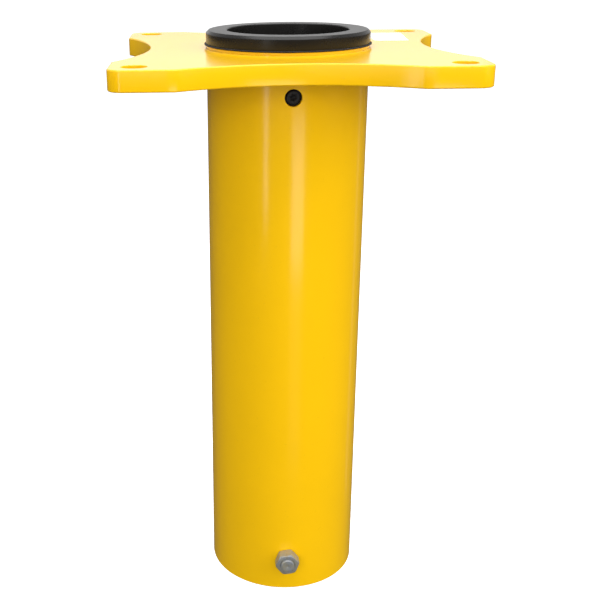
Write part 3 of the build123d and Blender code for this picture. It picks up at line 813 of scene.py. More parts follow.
def pierced_tube(outer, inner, bottom, top, rim, holes, seam, segments):
    """A tube with rounded rims and round holes through its wall, each with rounded edges.

    Each hole is (turn, height, radius, edge rounding). No hole may meet the seam.
    """
    count, arc = 48, 4
    row_height, clearance = 22 * MM, 1.6 * MM
    shell = Shell()

    def flat_points(reach, openings):
        """The wall unrolled: the loops of its openings, then a grid that keeps clear of them."""
        points = []
        for *_, loop in openings:
            for index in loop:
                x, y, z = shell.vertices[index]
                points.append(Vector((((atan2(y, x) - seam) % FULL_TURN) * reach, z)))
        low, high = bottom + rim, top - rim
        rows = max(6, ceil((high - low) / row_height))
        for i in range(segments + 1):
            swing = FULL_TURN / segments * i
            for k in range(rows + 1):
                height = low + (high - low) * k / rows
                for turn, level, radius, _ in openings:
                    across = (swing + seam - turn + pi) % FULL_TURN - pi
                    if hypot(across * reach, height - level) < radius + clearance:
                        break
                else:
                    points.append(Vector((swing * reach, height)))
        return points

    def wall(reach, openings):
        """One round wall between the rims, open at each (turn, height, radius, loop)."""
        known = [index for *_, loop in openings for index in loop]
        lines = []
        for start in range(0, len(known), count):
            lines += [(start + k, start + n) for k, n in neighbours(count)]
        points = flat_points(reach, openings)
        flat, _, triangles, sources, _, _ = delaunay_2d_cdt(points, lines, [], 0, 1e-7)
        index_of = []
        for spot, source in zip(flat, sources):
            if source and source[0] < len(known):
                index_of.append(known[source[0]])
            else:
                index_of += shell.loop([(*arc_point(reach, spot.x / reach + seam), spot.y)])
        for triangle in triangles:
            centre = centre_of([flat[k] for k in triangle])
            for turn, level, radius, _ in openings:
                across = centre.x / reach + seam - turn
                aside = hypot(reach * sin(across), centre.y - level)
                if cos(across) > 0 and aside < radius - 0.01 * MM:
                    break
            else:
                shell.faces.append([index_of[k] for k in triangle])

    outer_openings, inner_openings = [], []
    for turn, height, radius, edge in holes:
        steps = quarter_round(edge, arc)
        drills = [(outer - depth, radius + spread) for spread, depth in steps]
        drills += [(inner + depth, radius + spread) for spread, depth in reversed(steps)]
        loops = [shell.loop(drilled_loop(r, turn, height, size, count)) for r, size in drills]
        shell.join(loops)
        outer_openings.append((turn, height, radius + edge, loops[0]))
        inner_openings.append((turn, height, radius + edge, loops[-1]))
    wall(outer, outer_openings)
    wall(inner, inner_openings)
    turns = [seam + FULL_TURN * k / segments for k in range(segments)]
    for height, way in ((top, 1), (bottom, -1)):
        steps = quarter_round(rim, arc)
        profile = [(outer - depth, height - way * spread) for spread, depth in steps]
        profile += [(inner + depth, height - way * spread) for spread, depth in reversed(steps)]
        shell.join([shell.loop([(*arc_point(r, a), z) for a in turns]) for r, z in profile])
    return true_round(shell.mesh(weld=0.002 * MM), (outer, 1), (inner, -1))


def plate_outline(sizes, half, shrink):
    """The outline of the plate, drawn in along its sides and round at its corners."""
    flat = half - sizes.corner_flat
    waist_radius = (flat ** 2 + sizes.waist_depth ** 2) / (2 * sizes.waist_depth)
    centre = half - sizes.waist_depth + waist_radius
    sweep = asin(flat / waist_radius)
    corner = half - sizes.corner_round
    run = [flat + (corner - flat) * k / 4 for k in range(1, 4)]
    quarter = []
    for k in range(41):
        turn = pi - sweep + sweep * k / 20
        x, y = arc_point(waist_radius + shrink, turn, centre)
        quarter.append((x, -y))
    quarter += [(half - shrink, along) for along in run]
    for k in range(11):
        quarter.append(arc_point(sizes.corner_round - shrink, pi * k / 20, corner, corner))
    quarter += [(along, half - shrink) for along in reversed(run)]
    outline = []
    for side in range(4):
        turn = Matrix.Rotation(side * pi / 2, 2)
        outline += [turn @ Vector(point) for point in quarter]
    return outline


def pierced_plate(outline, holes, bottom, top, edge):
    """A flat plate: outline(shrink) gives its side, and holes are (x, y, radius, count, edge)."""
    shell = Shell()

    def circle(x, y, radius, count):
        """A hole's outline, widened by a given amount."""
        turns = [FULL_TURN * k / count for k in range(count)]
        return lambda grow: [arc_point(radius + grow, turn, x, y) for turn in turns]

    def wall(shape, edge):
        """A wall with rounded edges, and the loops where it meets the bottom and top faces."""
        steps = quarter_round(edge, 5)
        levels = [(spread, bottom + depth) for spread, depth in steps]
        levels += [(spread, top - depth) for spread, depth in reversed(steps)]
        loops = [shell.loop([(x, y, z) for x, y in shape(spread)]) for spread, z in levels]
        shell.join(loops)
        return loops[0], loops[-1]

    rims = [wall(outline, edge)]
    rims += [wall(circle(*hole), hole_edge) for *hole, hole_edge in holes]
    for loops in zip(*rims):
        known = [index for loop in loops for index in loop]
        points = [Vector(shell.vertices[index][:2]) for index in known]
        lines = []
        for loop in loops:
            lines += [(len(lines) + k, len(lines) + n) for k, n in neighbours(len(loop))]
        flat, _, triangles, sources, _, _ = delaunay_2d_cdt(points, lines, [], 1, 1e-7)
        for triangle in triangles:
            centre = centre_of([flat[k] for k in triangle])
            gaps = [hypot(centre.x - x, centre.y - y) - r - e for x, y, r, _, e in holes]
            if min(gaps) > -0.02 * MM:
                shell.faces.append([known[sources[k][0]] for k in triangle])
    mesh = shell.mesh()
    normals = []
    for vertex in mesh.vertices:
        level = [float(abs(vertex.co.z - height) < 1e-7) for height in (top, bottom)]
        normals.append((0.0, 0.0, level[0] - level[1]))
    mesh.normals_split_custom_set_from_vertices(normals)
    return mesh


# ---------------------------------------------------------------- Geometry Nodes


class Grower(Graph):
    """A Geometry Nodes tree with named inputs, given as name=default, or None for an object."""

    def __init__(self, name, **sockets):
        super().__init__(bpy.data.node_groups.new(name, "GeometryNodeTree"))
        kinds = {int: "Int", float: "Float", type(None): "Object"}
        face = self.tree.interface
        face.new_socket("Geometry", in_out="OUTPUT", socket_type="NodeSocketGeometry")
        for label, default in sockets.items():
            kind = f"NodeSocket{kinds[type(default)]}"
            made = face.new_socket(label.replace("_", " "), in_out="INPUT", socket_type=kind)
            if default is not None:
                made.default_value = default
        face.new_socket("Finish", in_out="INPUT", socket_type="NodeSocketMaterial")
        self.entry = self.tree.nodes.new("NodeGroupInput")

    def given(self, label):
        """An input of the tree."""
        return Wire(self, self.entry.outputs[label])

    def circle(self, resolution, radius):
        inputs = {"Resolution": resolution, "Radius": radius}
        return self.add("GeometryNodeCurvePrimitiveCircle", inputs)

    def euler(self, x, y, z):
        """A rotation from its three angles."""
        angles = self.add("ShaderNodeCombineXYZ", {0: x, 1: y, 2: z})
        return self.add("FunctionNodeEulerToRotation", {0: angles})

    def swept(self, curve, section, **inputs):
        """A section carried along a curve. Underscores in the inputs' names stand for spaces."""
        values = {"Curve": curve, "Profile Curve": section}
        values.update((name.replace("_", " "), value) for name, value in inputs.items())
        return self.add("GeometryNodeCurveToMesh", values)

    def end(self, geometry):
        """Realizes what the tree made, gives it its finish and ends the tree."""
        solid = self.add("GeometryNodeRealizeInstances", {"Geometry": geometry})
        inputs = {"Geometry": solid, "Material": self.given("Finish")}
        coated = self.add("GeometryNodeSetMaterial", inputs)
        self.join(self.tree.nodes.new("NodeGroupOutput").inputs[0], coated)
        return self.tree


def grown_mesh(tree, finish, **values):
    """The plain mesh that a Geometry Nodes tree makes from these inputs."""
    values["Finish"] = FINISHES[finish]
    carrier = linked("carrier", bpy.data.meshes.new("mesh"))
    grower = carrier.modifiers.new("Grow", "NODES")
    grower.node_group = tree
    for item in tree.interface.items_tree:
        label = item.name.replace(" ", "_")
        if item.in_out == "INPUT" and label in values:
            grower[item.identifier] = values[label]
    mesh = evaluated(carrier)
    carrier.modifiers.clear()
    bpy.data.objects.remove(carrier)
    return mesh


def pattern_tree():
    """Screws in a ring about Z: out of a wall, or up or down out of a flat face."""
    tree = Grower(
        "Screw pattern",
        Screw=None,
        Count=4,
        Radius=0.05,
        Height=0.0,
        First_Angle=0.0,
        Tilt=0.0,
        Seed=1,
    )
    count, radius = tree.given("Count"), tree.given("Radius")
    turn = tree.add("GeometryNodeInputIndex") * (FULL_TURN / count) + tree.given("First Angle")
    spot = {0: turn.cosine() * radius, 1: turn.sine() * radius, 2: tree.given("Height")}
    spot = tree.add("ShaderNodeCombineXYZ", spot)
    points = tree.add("GeometryNodePoints", {"Count": count, "Position": spot})
    chance = {"Seed": tree.given("Seed"), 2: 0.0, 3: pi}
    tighten = tree.add("FunctionNodeRandomValue", chance, out=1, data_type="FLOAT")
    stance = {0: tree.euler(0.0, tree.given("Tilt"), turn), 1: tree.euler(0.0, 0.0, tighten)}
    stance = tree.add("FunctionNodeRotateRotation", stance, rotation_space="LOCAL")
    screw = tree.add("GeometryNodeObjectInfo", {"Object": tree.given("Screw")}, out="Geometry")
    inputs = {"Points": points, "Instance": screw, "Rotation": stance}
    return tree.end(tree.add("GeometryNodeInstanceOnPoints", inputs))


def thread_tree():
    """A thread: a spiral ridge of diamond section about Z, half sunk in its core."""
    tree = Grower("Thread", Radius=0.008, Pitch=0.002, Length=0.02, Depth=0.001)
    radius, pitch, length, depth = map(tree.given, ("Radius", "Pitch", "Length", "Depth"))
    spiral = {
        "Resolution": 48,
        "Rotations": length / pitch,
        "Start Radius": radius,
        "End Radius": radius,
        "Height": length,
    }
    spiral = tree.add("GeometryNodeCurveSpiral", spiral)
    spiral = tree.add("GeometryNodeSetCurveNormal", {"Curve": spiral}, mode="Z_UP")
    section = {"Width": pitch * 0.92, "Bottom Height": depth, "Top Height": depth}
    section = tree.add("GeometryNodeCurvePrimitiveQuadrilateral", section, mode="KITE")
    return tree.end(tree.swept(spiral, section, Fill_Caps=True))


def weld_tree():
    """A ring of weld metal about Z, with the ripples of its pools and a slight waver."""
    tree = Grower("Weld bead", Radius=0.084, Height=0.0, Width=0.006, Ripple=0.0024)
    radius, count = tree.given("Radius"), 720
    around = tree.add("GeometryNodeInputIndex") * (radius * (FULL_TURN / count))
    pool = (around / tree.given("Ripple")) % 1.0
    crest = (pool * pi).sine() * 0.07 + pool * 0.05
    waver = tree.noise(tree.add("GeometryNodeInputPosition"), 60.0) - 0.5
    swell = 0.86 + crest + waver * 0.16
    ring = {"Curve": tree.circle(count, radius), "Radius": swell}
    ring = tree.add("GeometryNodeSetCurveRadius", ring)
    lift = tree.add("ShaderNodeCombineXYZ", {2: tree.given("Height")})
    ring = tree.add("GeometryNodeSetPosition", {"Geometry": ring, "Offset": lift})
    section = tree.circle(20, tree.given("Width") * 0.5)
    return tree.end(tree.swept(ring, section, Scale=swell))


def rod_tree():
    """A round rod along a path."""
    tree = Grower("Bent rod", Path=None, Radius=0.004)
    path = tree.add("GeometryNodeObjectInfo", {"Object": tree.given("Path")}, out="Geometry")
    return tree.end(tree.swept(path, tree.circle(32, tree.given("Radius")), Fill_Caps=True))


# ---------------------------------------------------------------- fasteners


def socket_rings(half_flats, face, depth):
    """A hexagon socket from its rim down to the middle of its drilled floor."""
    lead = 0.12 * half_flats
    side, floor = hexagon(half_flats), face - depth
    return [
        (half_flats * 1.22, face),
        (hexagon(half_flats + lead), face - 0.25 * lead),
        (side, face - 1.4 * lead),
        (side, face - 0.55 * depth),
        (side, floor),
        (half_flats * 0.86, floor - 0.4 * lead),
        (half_flats * 0.4, floor - 0.3 * half_flats),
        (0.0, floor - 0.5 * half_flats),
    ]


def socket_screw(head, head_height, shank, length, half_flats):
    """A socket-head screw on +Z whose head stands on the plane z = 0."""
    edge = 0.12 * head_height
    tip = [
        (0.0, -length),
        (0.7 * shank, -length),
        (shank, 0.3 * shank - length),
        (shank, 0.6 * shank - length),
        (shank, -edge),
        (shank, 0.0),
    ]
    corners = [
        (shank, 0.0, 0.0),
        (head, 0.0, edge),
        (head, head_height, edge),
        (half_flats * 1.22, head_height, 0.0),
    ]
    profile = tip + rounded(corners, closed=False)[1:-1]
    return turned_mesh(profile + socket_rings(half_flats, head_height, 0.5 * head_height), 48)


def countersunk_screw(head, shank, length, half_flats, rim):
    """A countersunk screw on +Z whose flat face lies in the plane z = 0."""
    slope = head - shank
    profile = [
        (0.0, -length),
        (0.7 * shank, -length),
        (shank, 0.3 * shank - length),
        (shank, -rim - slope - 0.2 * shank),
        (shank, -rim - slope),
        (head, -rim),
        (head, -0.12 * MM),
        (head - 0.12 * MM, 0.0),
        (head - 0.3 * MM, 0.0),
        (half_flats * 1.4, 0.0),
    ]
    return turned_mesh(profile + socket_rings(half_flats, 0.0, 0.8 * slope), 48)


def hexagon_nut(half_flats, height, bore, turn):
    """A nut on +Z from z = 0, chamfered at both faces and countersunk at both ends of its bore."""
    shape = hexagon(half_flats)
    chamfer = hexagon_chamfer(half_flats, 0.96 * half_flats)
    side = chamfer[-1][1] + 0.4 * MM
    lead = 0.55 * MM
    mouth = [(2.2 * lead, 0.0), (lead, 0.0), (0.3 * lead, 0.7 * lead), (0.0, 1.2 * lead)]
    half = [(bore + spread, depth) for spread, depth in reversed(mouth)]
    half += [(0.9 * half_flats, 0.0), *chamfer, (shape, side)]
    profile = half + [(radius, height - rise) for radius, rise in reversed(half)]
    return turned_mesh(profile, 144, turn)


# ---------------------------------------------------------------- finishes and housing


class BOLLARD_OT_finishes(bpy.types.Operator):
    """Make the finishes of every piece"""

    bl_idname = "bollard.finishes"
    bl_label = "Finishes"

    def execute(self, context):
        scene = context.scene
        coats = (powder_coat, turned_polymer, rubber, coated_casting, nylon, label_stock)
        for finish in (*coats, zinc_plate, black_oxide, stainless, bronze):
            finish(scene.bollard_colours)
        reflective_film(scene.bollard_colours, scene.bollard_sizes.band_cell)
        floor_paint(scene.bollard_colours, scene.bollard_studio.floor_glow)
        return {"FINISHED"}


class BOLLARD_OT_housing_tube(bpy.types.Operator):
    """Make the housing tube, with its front hole and its holes for the stop bolt"""

    bl_idname = "bollard.housing_tube"
    bl_label = "Housing tube"

    def execute(self, context):
        sizes = context.scene.bollard_sizes
        outer, bottom, top = centred_box("housing_tube")
        inner = outer - sizes.tube_wall
        front, back = radians(-90), radians(90)
        stop_height, edge = middle("stop_bolt").z, 0.9 * MM
        holes = [(turn, stop_height, sizes.stop_hole, edge) for turn in (front, back)]
        holes.append((front, middle("bushing_screw").z, sizes.front_hole, edge))
        mesh = pierced_tube(outer, inner, bottom, top, 1.0 * MM, holes, 0.0, 160)
        set_piece("housing_tube", "coated", "housing", "yellow_powder_coat", mesh)
        return {"FINISHED"}


class BOLLARD_OT_mounting_plate(bpy.types.Operator):
    """Make the mounting plate, drawn in along its sides and drilled at its corners"""

    bl_idname = "bollard.mounting_plate"
    bl_label = "Mounting plate"

    def execute(self, context):
        sizes = context.scene.bollard_sizes
        half, bottom, top = centred_box("mounting_plate")
        reach = half - sizes.anchor_inset
        seat_gap, anchor_edge = 0.3 * MM, 0.9 * MM
        holes = [(0.0, 0.0, HIGH["housing_tube"].x + seat_gap, 160, seat_gap)]
        for x in (reach, -reach):
            for y in (reach, -reach):
                holes.append((x, y, sizes.anchor_hole, 72, anchor_edge))

        def outline(shrink):
            return plate_outline(sizes, half, shrink)

        mesh = pierced_plate(outline, holes, bottom, top, sizes.plate_edge)
        set_piece("mounting_plate", "coated", "housing", "yellow_powder_coat", mesh)
        return {"FINISHED"}


class BOLLARD_OT_plate_weld(bpy.types.Operator):
    """Make the rippled weld between the tube and the underside of the plate"""

    bl_idname = "bollard.plate_weld"
    bl_label = "Plate weld"

    def execute(self, context):
        sizes = context.scene.bollard_sizes
        mesh = grown_mesh(
            weld_tree(),
            "yellow_powder_coat",
            Radius=-LOW["plate_weld"].x - 0.5 * sizes.weld_width,
            Height=LOW["plate_weld"].z + 0.12 * sizes.weld_width,
            Width=sizes.weld_width,
            Ripple=sizes.weld_ripple,
        )
        mesh.shade_smooth()
        set_piece("plate_weld", "bead", "housing", "yellow_powder_coat", mesh)
        return {"FINISHED"}


class BOLLARD_OT_blank_label(bpy.types.Operator):
    """Make the blank label on top of the plate's back right arm"""

    bl_idname = "bollard.blank_label"
    bl_label = "Blank label"

    def execute(self, context):
        sizes = context.scene.bollard_sizes
        across, along = sizes.label_width / 2, sizes.label_length / 2
        corners = [(across, -along), (across, along), (-across, along), (-across, -along)]
        outline = rounded([(*corner, 3.0 * MM) for corner in corners])
        top = HIGH["mounting_plate"].z
        gap, thickness = 0.02 * MM, 0.15 * MM
        mesh = stacked_mesh([(outline, top + gap), (outline, top + thickness)])
        mesh.shade_flat()
        moved(mesh, Matrix.Rotation(sizes.label_turn, 4, "Z"))
        moved(mesh, shift(sizes.label_right, sizes.label_back, 0.0))
        set_piece("blank_label", "sheet", "housing", "blank_label", mesh)
        return {"FINISHED"}


class BOLLARD_OT_guide_bushing(bpy.types.Operator):
    """Turn the guide bushing, with its ledge, its wiper groove and its spot face"""

    bl_idname = "bollard.guide_bushing"
    bl_label = "Guide bushing"

    def execute(self, context):
        sizes = context.scene.bollard_sizes
        flange, bottom, top = centred_box("guide_bushing")
        sleeve = HIGH["housing_tube"].x - sizes.tube_wall - 0.2 * MM
        flange_bottom = HIGH["bushing_gasket"].z
        chamfer, mouth_chamfer, lead_in = sizes.flange_chamfer, 0.9 * MM, 2.0 * MM
        mouth, land = sizes.mouth_radius, sizes.land_radius
        ledge = top - sizes.mouth_depth
        groove, groove_gap = land + sizes.wiper_depth, 0.1 * MM
        groove_top = HIGH["wiper_seal"].z + groove_gap
        groove_bottom = LOW["wiper_seal"].z - groove_gap
        profile = rounded(
            [
                (sleeve, bottom, 0.8 * MM),
                (sleeve, flange_bottom, 0.2 * MM),
                (flange, flange_bottom, 0.5 * MM),
                (flange, top - chamfer, 0.9 * MM),
                (flange - chamfer, top, 0.9 * MM),
                (mouth + mouth_chamfer, top, 0.4 * MM),
                (mouth, top - mouth_chamfer, 0.4 * MM),
                (mouth, ledge, 0.5 * MM),
                (land, ledge, 0.5 * MM),
                (land, groove_top, 0.2 * MM),
                (groove, groove_top, 0.3 * MM),
                (groove, groove_bottom, 0.3 * MM),
                (land, groove_bottom, 0.2 * MM),
                (land, bottom + lead_in, 0.4 * MM),
                (land + lead_in, bottom, 0.4 * MM),
            ]
        )
        spot_face, drilled_depth = 7.35 * MM, 10.0 * MM
        drill = moved(cylinder(spot_face, 0.0, drilled_depth, 48), *screw_seat())
        mesh = cut_mesh(turned_mesh(profile, 192), drill)
        mesh.shade_smooth()
        set_piece("guide_bushing", "turned", "housing", "black_polymer", mesh)
        return {"FINISHED"}


class BOLLARD_OT_seals(bpy.types.Operator):
    """Make the gasket under the bushing's flange and the wiper in its bore"""

    bl_idname = "bollard.seals"
    bl_label = "Gasket and wiper"

    def execute(self, context):
        kind = ("moulded", "housing", "black_rubber")
        inner = HIGH["housing_tube"].x - context.scene.bollard_sizes.tube_wall
        ring_piece("bushing_gasket", *kind, inner, 0.1 * MM, 0.7 * MM, 192)
        outer, low, high = centred_box("wiper_seal")
        lip = HIGH["post_tube"].x + 0.35 * MM
        root = lip + 1.6 * MM
        corners = [
            (outer, low, 0.3 * MM),
            (outer, high, 0.3 * MM),
            (root, high, 0.4 * MM),
            (lip, high - 0.5 * MM, 0.2 * MM),
            (root, low + 2.4 * MM, 0.6 * MM),
            (root, low, 0.3 * MM),
        ]
        turned_piece("wiper_seal", *kind, corners, 128)
        return {"FINISHED"}


class BOLLARD_OT_bushing_screw(bpy.types.Operator):
    """Make the socket screw behind the front hole"""

    bl_idname = "bollard.bushing_screw"
    bl_label = "Bushing screw"

    def execute(self, context):
        screw = socket_screw(
            head=6.5 * MM,
            head_height=SEAT_DEPTH,
            shank=4.0 * MM,
            length=11.5 * MM,
            half_flats=2.5 * MM,
        )
        moved(screw, spin(17, "Z"), *screw_seat())
        set_piece("bushing_screw", "turned", "housing", "black_oxide_steel", screw)
        return {"FINISHED"}


class BOLLARD_OT_stop_bolt(bpy.types.Operator):
    """Make the stop bolt across the tube's foot, with its thread, its nut and its spacer"""

    bl_idname = "bollard.stop_bolt"
    bl_label = "Stop bolt"

    def execute(self, context):
        lie_down = (spin(90, "X"), shift(0.0, 0.0, middle("stop_bolt").z))
        tip, head_end = -LOW["stop_bolt"].y, -HIGH["stop_bolt"].y
        head_seat = -(HIGH["housing_tube"].x + 0.1 * MM)
        radius, pitch = 8.0 * MM, context.scene.bollard_sizes.thread_pitch
        core = radius - 0.55 * pitch
        half_flats = 12.0 * MM
        shape = hexagon(half_flats)
        run_out = -LOW["stop_nut"].y - 22.0 * MM
        head = hexagon_chamfer(half_flats, 0.94 * half_flats)
        profile = [(0.0, head_end), (0.5 * half_flats, head_end)]
        profile += [(reach, head_end + rise) for reach, rise in head]
        profile += [
            (shape, head_end + 3.0 * MM),
            (shape, head_seat - 0.6 * MM),
            (chamfered(shape, half_flats * 1.02), head_seat),
            (radius * 1.08, head_seat),
            (radius, head_seat + 0.4 * MM),
            (radius, head_seat + 1.5 * MM),
            (radius, run_out - 1.0 * MM),
            (radius, run_out),
            (core, run_out + 1.0 * MM),
            (core, tip - 2.3 * MM),
            (core, tip - 1.6 * MM),
            (radius - 0.35 * MM, tip - 1.25 * MM),
            (radius - 0.3 * MM, tip - 0.8 * MM),
            (radius - 0.75 * MM, tip - 0.2 * MM),
            (radius - 1.1 * MM, tip - 0.04 * MM),
            (radius - 1.7 * MM, tip),
            (2.4 * MM, tip - 0.02 * MM),
            (1.5 * MM, tip - 0.25 * MM),
            (0.0, tip - 0.7 * MM),
        ]
        kind = ("plated", "housing", "zinc_steel")
        thread = grown_mesh(
            thread_tree(),
            "zinc_steel",
            Radius=core,
            Pitch=pitch,
            Length=tip - run_out - 3.4 * MM,
            Depth=radius - core,
        )
        moved(thread, shift(0.0, 0.0, run_out + 1.2 * MM))
        bolt = moved(merged_mesh(turned_mesh(profile), thread), *lie_down)
        bolt.shade_smooth()
        set_piece("stop_bolt", *kind, bolt)
        low, high = LOW["stop_nut"].y, HIGH["stop_nut"].y
        nut = hexagon_nut(half_flats, high - low, radius - 0.2 * MM, radians(40))
        moved(nut, shift(0.0, 0.0, -high), *lie_down)
        set_piece("stop_nut", *kind, nut)
        outer, end, _ = HIGH["stop_spacer"]
        corners = ring_section(radius + 0.7 * MM, outer, -end, end, 0.4 * MM, 0.6 * MM)
        turned_piece("stop_spacer", *kind, corners, 72, *lie_down)
        return {"FINISHED"}


# ---------------------------------------------------------------- post


class BOLLARD_OT_post_tube(bpy.types.Operator):
    """Make the post's tube, with its holes for the lock bolts and the wall screws"""

    bl_idname = "bollard.post_tube"
    bl_label = "Post tube"

    def execute(self, context):
        sizes = context.scene.bollard_sizes
        outer, bottom, top = centred_box("post_tube")
        inner = outer - sizes.post_wall
        lock_height, cap_height = middle("lock_bolt_right").z, middle("cap_screws").z
        screw = sizes.wall_screw_head + 0.12 * MM
        edge = 0.35 * MM
        holes = [(radians(a), lock_height, sizes.bolt_hole, edge) for a in (0, 180)]
        holes += [(radians(a), lock_height, screw, edge) for a in (90, 270)]
        holes += [(radians(a), cap_height, screw, edge) for a in (90, 210, 330)]
        mesh = pierced_tube(outer, inner, bottom, top, 0.5 * MM, holes, radians(45), 128)
        set_piece("post_tube", "coated", "post", "yellow_powder_coat", mesh)
        return {"FINISHED"}


class BOLLARD_OT_reflective_band(bpy.types.Operator):
    """Make the band of reflective film, with a map that its cells follow"""

    bl_idname = "bollard.reflective_band"
    bl_label = "Reflective band"

    def execute(self, context):
        outer, low, high = centred_box("reflective_band")
        inner = HIGH["post_tube"].x + 0.02 * MM
        corners = ring_section(inner, outer, low, high, 0.05 * MM, 0.1 * MM)
        mesh = turned_mesh(rounded(corners, steps=3), 128)
        true_round(mesh, (outer, 1), (inner, -1))
        lay = mesh.uv_layers.new(name="lay")
        cell = context.scene.bollard_sizes.band_cell
        girth = round(FULL_TURN * outer / cell) * cell
        for face in mesh.polygons:
            spots = [mesh.vertices[mesh.loops[index].vertex_index].co for index in face.loop_indices]
            turns = [(atan2(spot.y, spot.x) / FULL_TURN) % 1.0 for spot in spots]
            for index, spot, turn in zip(face.loop_indices, spots, turns):
                past_seam = max(turns) > 0.75 and turn < 0.25
                lay.data[index].uv = ((turn + past_seam) * girth, spot.z - low)
        set_piece("reflective_band", "film", "post", "white_reflective", mesh)
        return {"FINISHED"}


class BOLLARD_OT_post_cap(bpy.types.Operator):
    """Make the cast cap, with the channel for the handle and the well for the key"""

    bl_idname = "bollard.post_cap"
    bl_label = "Post cap"

    def execute(self, context):
        sizes = context.scene.bollard_sizes
        seat = HIGH["post_tube"].z
        outer, bottom, top = centred_box("post_cap")
        spigot = outer - sizes.post_wall - 0.2 * MM
        above, flare = 30.0 * MM, 0.8 * MM
        corners = [
            (0.0, bottom, 0.0),
            (spigot, bottom, 0.8 * MM),
            (spigot, seat, 0.2 * MM),
            (outer, seat, 0.3 * MM),
            (outer, top, 3.0 * MM),
            (0.0, top, 0.0),
        ]
        body = turned_mesh(rounded(corners, False), 144)
        axis, offset, rod = sizes.handle_axis, sizes.handle_offset, sizes.handle_rod
        shoulder = sizes.handle_leg - offset
        wide = sizes.handle_reach + rod + 0.5 * MM
        narrow = sizes.handle_reach - rod - 1.3 * MM
        floor = axis - rod - 0.5 * MM

        def channel(grow):
            """The handle's slot seen from above, widened by grow."""
            sweep = [pi * k / 64 for k in range(65)]
            outer_arc = [arc_point(wide + grow, turn, 0.0, shoulder) for turn in sweep]
            inner_arc = [arc_point(narrow - grow, pi - turn, 0.0, shoulder) for turn in sweep]
            end = -offset - grow
            outline = [(wide + grow, end), *outer_arc, (-wide - grow, end)]
            return outline + [(grow - narrow, end), *inner_arc, (narrow - grow, end)]

        def pocket(x):
            """The square well of the handle pin at x, as an outline that can be widened."""

            def outline(grow):
                half, front, back = 4.5 * MM + grow, 6.5 * MM + grow, 6.6 * MM + grow
                low, high = -offset - front, -offset + back
                return [(x - half, low), (x + half, low), (x + half, high), (x - half, high)]

            return outline

        def flared(outline, bottom):
            """A cutter with that outline, opened out where it meets the cap's top."""
            levels = [(outline(0.0), bottom), (outline(0.0), top - flare)]
            levels += [(outline(flare), top), (outline(flare), top + above)]
            return stacked_mesh(levels)

        def round_well(profile, segments):
            """A round cutter from that profile, opened out where it meets the cap's top."""
            radius = profile[-1][0]
            profile += [(radius, top - flare), (radius + flare, top)]
            profile += [(radius + flare, top + above), (0.0, top + above)]
            return turned_mesh(profile, segments)

        scoop, scoop_floor = sizes.finger_scoop, floor - 0.6 * MM
        profile = [
            (0.0, scoop_floor),
            (scoop - 4.0 * MM, scoop_floor),
            (scoop - 1.2 * MM, floor + 0.3 * MM),
            (scoop, floor + 2.4 * MM),
        ]
        behind = shift(0.0, sizes.handle_reach + shoulder, 0.0)
        cutters = [flared(channel, floor), moved(round_well(profile, 72), behind)]
        pocket_floor, pin_hole = floor - 2.0 * MM, 2.55 * MM
        for side in (1, -1):
            cutters.append(flared(pocket(side * sizes.handle_reach), pocket_floor))
            bore = cylinder(pin_hole, 20.0 * MM, 80.0 * MM, 32)
            cutters.append(moved(bore, spin(90 * side, "Y"), shift(0.0, -offset, axis)))
        profile = [(0.0, bottom - above), (sizes.key_well, bottom - above)]
        cutters.append(round_well(profile, 96))
        set_piece("post_cap", "cast", "post", "black_casting", cut_mesh(body, *cutters))
        return {"FINISHED"}


class BOLLARD_OT_lift_handle(bpy.types.Operator):
    """Make the bail that lifts the post, with its eyes, and the two pins that it turns on"""

    bl_idname = "bollard.lift_handle"
    bl_label = "Lift handle"

    def execute(self, context):
        sizes = context.scene.bollard_sizes
        axis, offset, reach = sizes.handle_axis, sizes.handle_offset, sizes.handle_reach
        shoulder = sizes.handle_leg - offset
        start = -offset + 5.2 * MM
        bow = [arc_point(reach, pi * k / 60, 0.0, shoulder) for k in range(61)]
        route = [(reach, start), *bow, (-reach, start)]
        curve = bpy.data.curves.new("handle_path", "CURVE")
        curve.dimensions = "3D"
        line = curve.splines.new("POLY")
        line.points.add(len(route) - 1)
        for point, (x, y) in zip(line.points, route):
            point.co = (x, y, axis, 1.0)
        path = linked("handle_path", curve)
        finish = "stainless_steel"
        rod = grown_mesh(rod_tree(), finish, Path=path, Radius=sizes.handle_rod)
        bpy.data.objects.remove(path)
        rod.shade_smooth()
        parts, pins = [rod], []
        half, eye_radius, pin_radius = 4.0 * MM, 6.0 * MM, 2.5 * MM
        section = ring_section(pin_radius + 0.15 * MM, eye_radius, -half, half, 0.4 * MM, 1.2 * MM)
        low, high = 20.02 * MM, HIGH["handle_pins"].x
        corners = ring_section(0.0, pin_radius, low, high, 0.0, 0.5 * MM)
        for side in (1, -1):
            eye = turned_mesh(rounded(section), 64)
            parts.append(moved(eye, spin(90, "Y"), shift(side * reach, -offset, axis)))
            pin = turned_mesh(rounded(corners, False), 40)
            pins.append(moved(pin, spin(90 * side, "Y"), shift(0.0, -offset, axis)))
        set_piece("lift_handle", "forged", "lift_handle", finish, merged_mesh(*parts))
        set_piece("handle_pins", "ground", "post", finish, merged_mesh(*pins))
        return {"FINISHED"}


